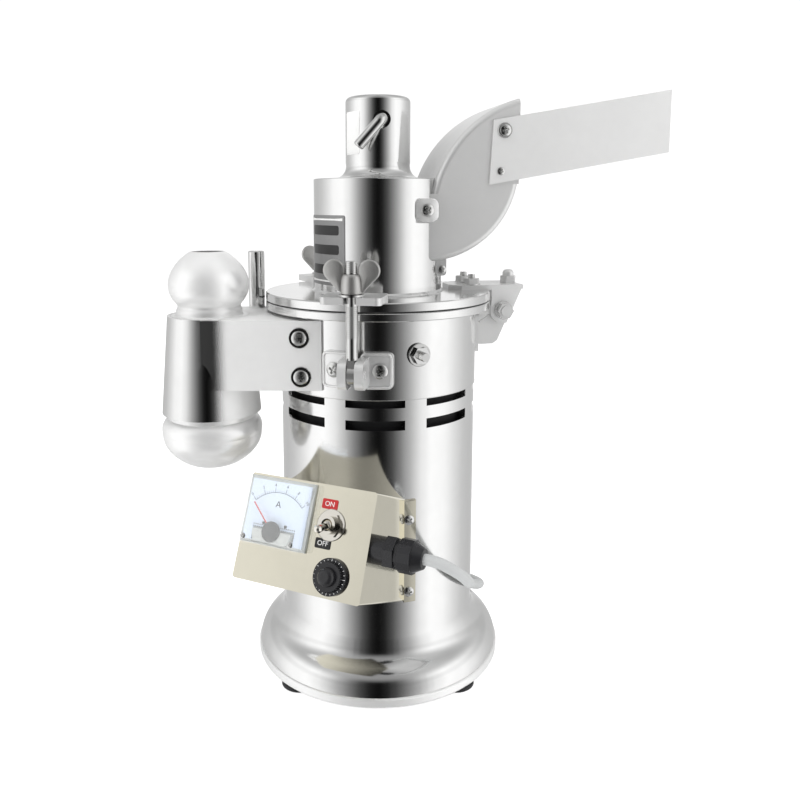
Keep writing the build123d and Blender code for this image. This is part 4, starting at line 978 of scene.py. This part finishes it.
# ---- power lead ---------------------------------------------------------------------------
@dataclass
class PowerLead:
    """The mains lead: its fall from the gland, its run behind the mill and its coil."""

    radius: float = 3.75
    length: float = 1.5
    centre: Pair = (10.0, 168.0)
    inner: float = 37.6
    outer: float = 45.2
    low: float = 3.95
    high: float = 11.5
    route: Tuple[Triple, ...] = (
        (29.63, -132.83, 133.0), (37.79, -136.62, 133.0), (46.5, -137.3, 128.6), (54.6, -131.4, 120.8),
        (59.4, -120.4, 111.5), (61.5, -105.5, 104.0), (63.5, -80.0, 91.0), (68.0, -53.0, 76.5),
        (75.5, -31.0, 64.5), (82.0, -8.0, 53.0), (85.5, 18.0, 41.0), (86.0, 47.0, 28.5),
        (81.5, 77.0, 17.0), (72.5, 103.0, 8.5), (63.5, 123.0, 3.95), (58.5, 139.0, 3.95),
        (56.2, 160.0, 3.95))
    run_out: Tuple[Triple, ...] = (
        (56.8, 159.8, 11.5), (60.9, 178.8, 11.2), (54.4, 197.9, 9.2), (40.2, 212.8, 6.6), (21.4, 221.8, 4.6),
        (5.0, 223.8, 3.95), (-9.0, 220.5, 3.95), (-17.0, 217.2, 3.95), (-24.0, 216.75, 3.95))

    def coil(self) -> List[Triple]:
        """Control points of the turns, one each 24 degrees: in low, up inside, out and down again."""
        keys = np.array([14, 330, 370, 680, 705, 1070, 1100, 1410], dtype=float)
        reach = np.repeat([self.outer, self.inner, self.inner, self.outer], 2)
        level = np.repeat([self.low, self.low, self.high, self.high], 2)
        turn = np.linspace(14, 1410, 60)
        at_reach, at_level = np.interp(turn, keys, reach), np.interp(turn, keys, level)
        bulge = at_reach / math.cos(math.radians(12.0)) ** 0.5
        x = self.centre[0] + bulge * np.cos(np.radians(turn))
        y = self.centre[1] + bulge * np.sin(np.radians(turn))
        return list(zip(x.tolist(), y.tolist(), at_level.tolist()))

    def build(self) -> None:
        points = list(self.route) + self.coil() + list(self.run_out)
        curve = bpy.data.curves.new("power_lead", "CURVE")
        curve.dimensions = "3D"
        curve.resolution_u = 8
        curve.bevel_depth = self.radius * MM
        curve.bevel_resolution = 5
        curve.use_fill_caps = True
        spline = curve.splines.new("NURBS")
        spline.points.add(len(points) - 1)
        flat = np.concatenate([np.array(points) * MM, np.ones((len(points), 1))], axis=1)
        spline.points.foreach_set("co", flat.ravel())
        spline.order_u = 3
        spline.use_endpoint_u = True
        lead = linked("power_lead", curve)
        dress(lead, "cord_grey", "mill")
        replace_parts(lead, "power_cord", "cord_coil")


# ---- studio -------------------------------------------------------------------------------
@dataclass
class Studio:
    """Floor, soft surroundings, lights and camera."""

    camera_place: Triple = (0.0, -0.610, 0.3592)
    camera_tilt: float = 82.0
    lens: float = 35.6
    shift: Pair = (0.0276, -0.11)
    stops: Tuple[Pair, ...] = (
        (0.0, 0.003), (8.0, 0.015), (17.0, 0.08), (26.0, 0.24), (36.0, 0.48), (51.0, 0.98), (65.0, 1.22),
        (85.0, 1.15), (102.0, 0.88), (119.0, 0.68), (136.0, 0.6), (155.0, 0.58), (165.0, 0.75), (180.0, 1.05))
    dusk_edges: Tuple[Pair, Pair] = ((0.14, 0.24), (0.47, 0.35))
    dusk_share: float = 0.1
    sky_edge: Pair = (0.48, 0.8)
    sky_share: float = 0.75
    sky_level: float = 0.42
    ground_edge: Pair = (-0.60, -0.74)
    ground_level: float = 0.40
    backdrop_level: float = 1.06
    floor_half: float = 8.0
    floor_glow: float = 0.66

    def build_camera(self) -> None:
        """Places the camera."""
        data = bpy.data.cameras.new("camera")
        data.lens, data.sensor_width = self.lens, 36.0
        data.shift_x, data.shift_y = self.shift
        data.clip_start = 0.01
        camera = linked("camera", data)
        camera.location = self.camera_place
        camera.rotation_euler = (math.radians(self.camera_tilt), 0, 0)
        bpy.context.scene.camera = camera

    def build_surroundings(self) -> None:
        """A soft studio by direction: dark in front, bright at both sides, grey overhead and underneath."""
        world = bpy.data.worlds.new("studio")
        world.use_nodes = True
        bpy.context.scene.world = world
        tree = world.node_tree
        direction = tree.nodes.new("ShaderNodeTexCoord").outputs["Generated"]
        split = tree.nodes.new("ShaderNodeSeparateXYZ")
        tree.links.new(direction, split.inputs[0])
        behind = math_node(tree, "MULTIPLY", split.outputs["Y"], -1.0)
        azimuth = math_node(tree, "ABSOLUTE", math_node(tree, "ARCTAN2", split.outputs["X"], behind))
        share = math_node(tree, "DIVIDE", azimuth, math.pi)
        ramp = tree.nodes.new("ShaderNodeValToRGB")
        ramp.color_ramp.interpolation = "LINEAR"
        ramp.color_ramp.elements[0].color = (*(self.stops[0][1],) * 3, 1)
        ramp.color_ramp.elements[-1].color = (*(self.stops[-1][1],) * 3, 1)
        for angle, level in self.stops[1:-1]:
            ramp.color_ramp.elements.new(angle / 180.0).color = (level, level, level, 1)
        tree.links.new(share, ramp.inputs["Fac"])
        height = split.outputs["Z"]
        shade = math_node(tree, "MULTIPLY", *(mask_node(tree, height, *edge) for edge in self.dusk_edges))
        dusk = math_node(tree, "MULTIPLY", shade, self.dusk_share)
        colour = blend_node(tree, dusk, ramp.outputs["Color"], (0.0,) * 3)
        sky = mask_node(tree, height, *self.sky_edge, self.sky_share)
        colour = blend_node(tree, sky, colour, (self.sky_level,) * 3)
        colour = blend_node(tree, mask_node(tree, height, *self.ground_edge), colour, (self.ground_level,) * 3)
        seen = tree.nodes.new("ShaderNodeLightPath").outputs["Is Camera Ray"]
        backdrop = blend_node(tree, seen, colour, (self.backdrop_level,) * 3)
        tree.links.new(backdrop, tree.nodes["Background"].inputs["Color"])
        tree.nodes["Background"].inputs["Strength"].default_value = 1.0

    def build_floor(self) -> None:
        """A wide pale floor that shows in no reflection."""
        floor = finish_mesh("floor", self.floor_half * np.array([[-1, -1, 0], [1, -1, 0], [1, 1, 0], [-1, 1, 0]]),
                            np.array([[0, 1, 2, 3]]), 30.0)
        material = bpy.data.materials.new("floor_white")
        material.use_nodes = True
        shader = material.node_tree.nodes["Principled BSDF"]
        shader.inputs["Base Color"].default_value = (0.8, 0.8, 0.8, 1)
        shader.inputs["Roughness"].default_value = 0.8
        shader.inputs["Emission Color"].default_value = (1.0, 1.0, 1.0, 1)
        shader.inputs["Emission Strength"].default_value = self.floor_glow
        floor.data.materials.append(material)
        floor.visible_glossy = False

    def build_lights(self) -> None:
        """Large soft lights that fill the matt pieces and stay out of the mirror finish."""
        lights = {"top_light": ((0.1, -0.3, 1.9), (0.0, 0.0, 0.1), 1.8, 24.0),
                  "left_light": ((-1.5, -1.1, 1.0), (0.0, 0.0, 0.2), 1.2, 9.0),
                  "right_light": ((1.5, -1.0, 0.9), (0.0, 0.0, 0.25), 1.2, 7.0)}
        for name, (place, aim, size, power) in lights.items():
            data = bpy.data.lights.new(name, "AREA")
            data.size, data.energy = size, power
            light = linked(name, data)
            away = np.array(place) - np.array(aim)
            z = away / np.linalg.norm(away)
            x = np.cross([0.0, 1.0, 0.0] if abs(z[2]) > 0.9 else [0.0, 0.0, 1.0], z)
            x /= np.linalg.norm(x)
            y = np.cross(z, x)
            turned = Matrix([[x[i], y[i], z[i], place[i]] for i in range(3)] + [[0, 0, 0, 1]])
            light.matrix_world = turned
            light.visible_glossy = False

    def build(self) -> None:
        """Builds the studio."""
        self.build_camera()
        self.build_surroundings()
        self.build_floor()
        self.build_lights()
        bpy.context.scene.view_settings.view_transform = "Standard"


def main() -> None:
    """Builds the studio and every sub-assembly in order."""
    logging.basicConfig(level=logging.INFO, format="%(message)s")
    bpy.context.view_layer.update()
    Studio().build()
    PowerLead().build()
    SolidFinishes().dress()
    for assembly in (Fasteners(), ControlPanel(), BodyDetails()):
        assembly.build()


if __name__ == "__main__":
    main()
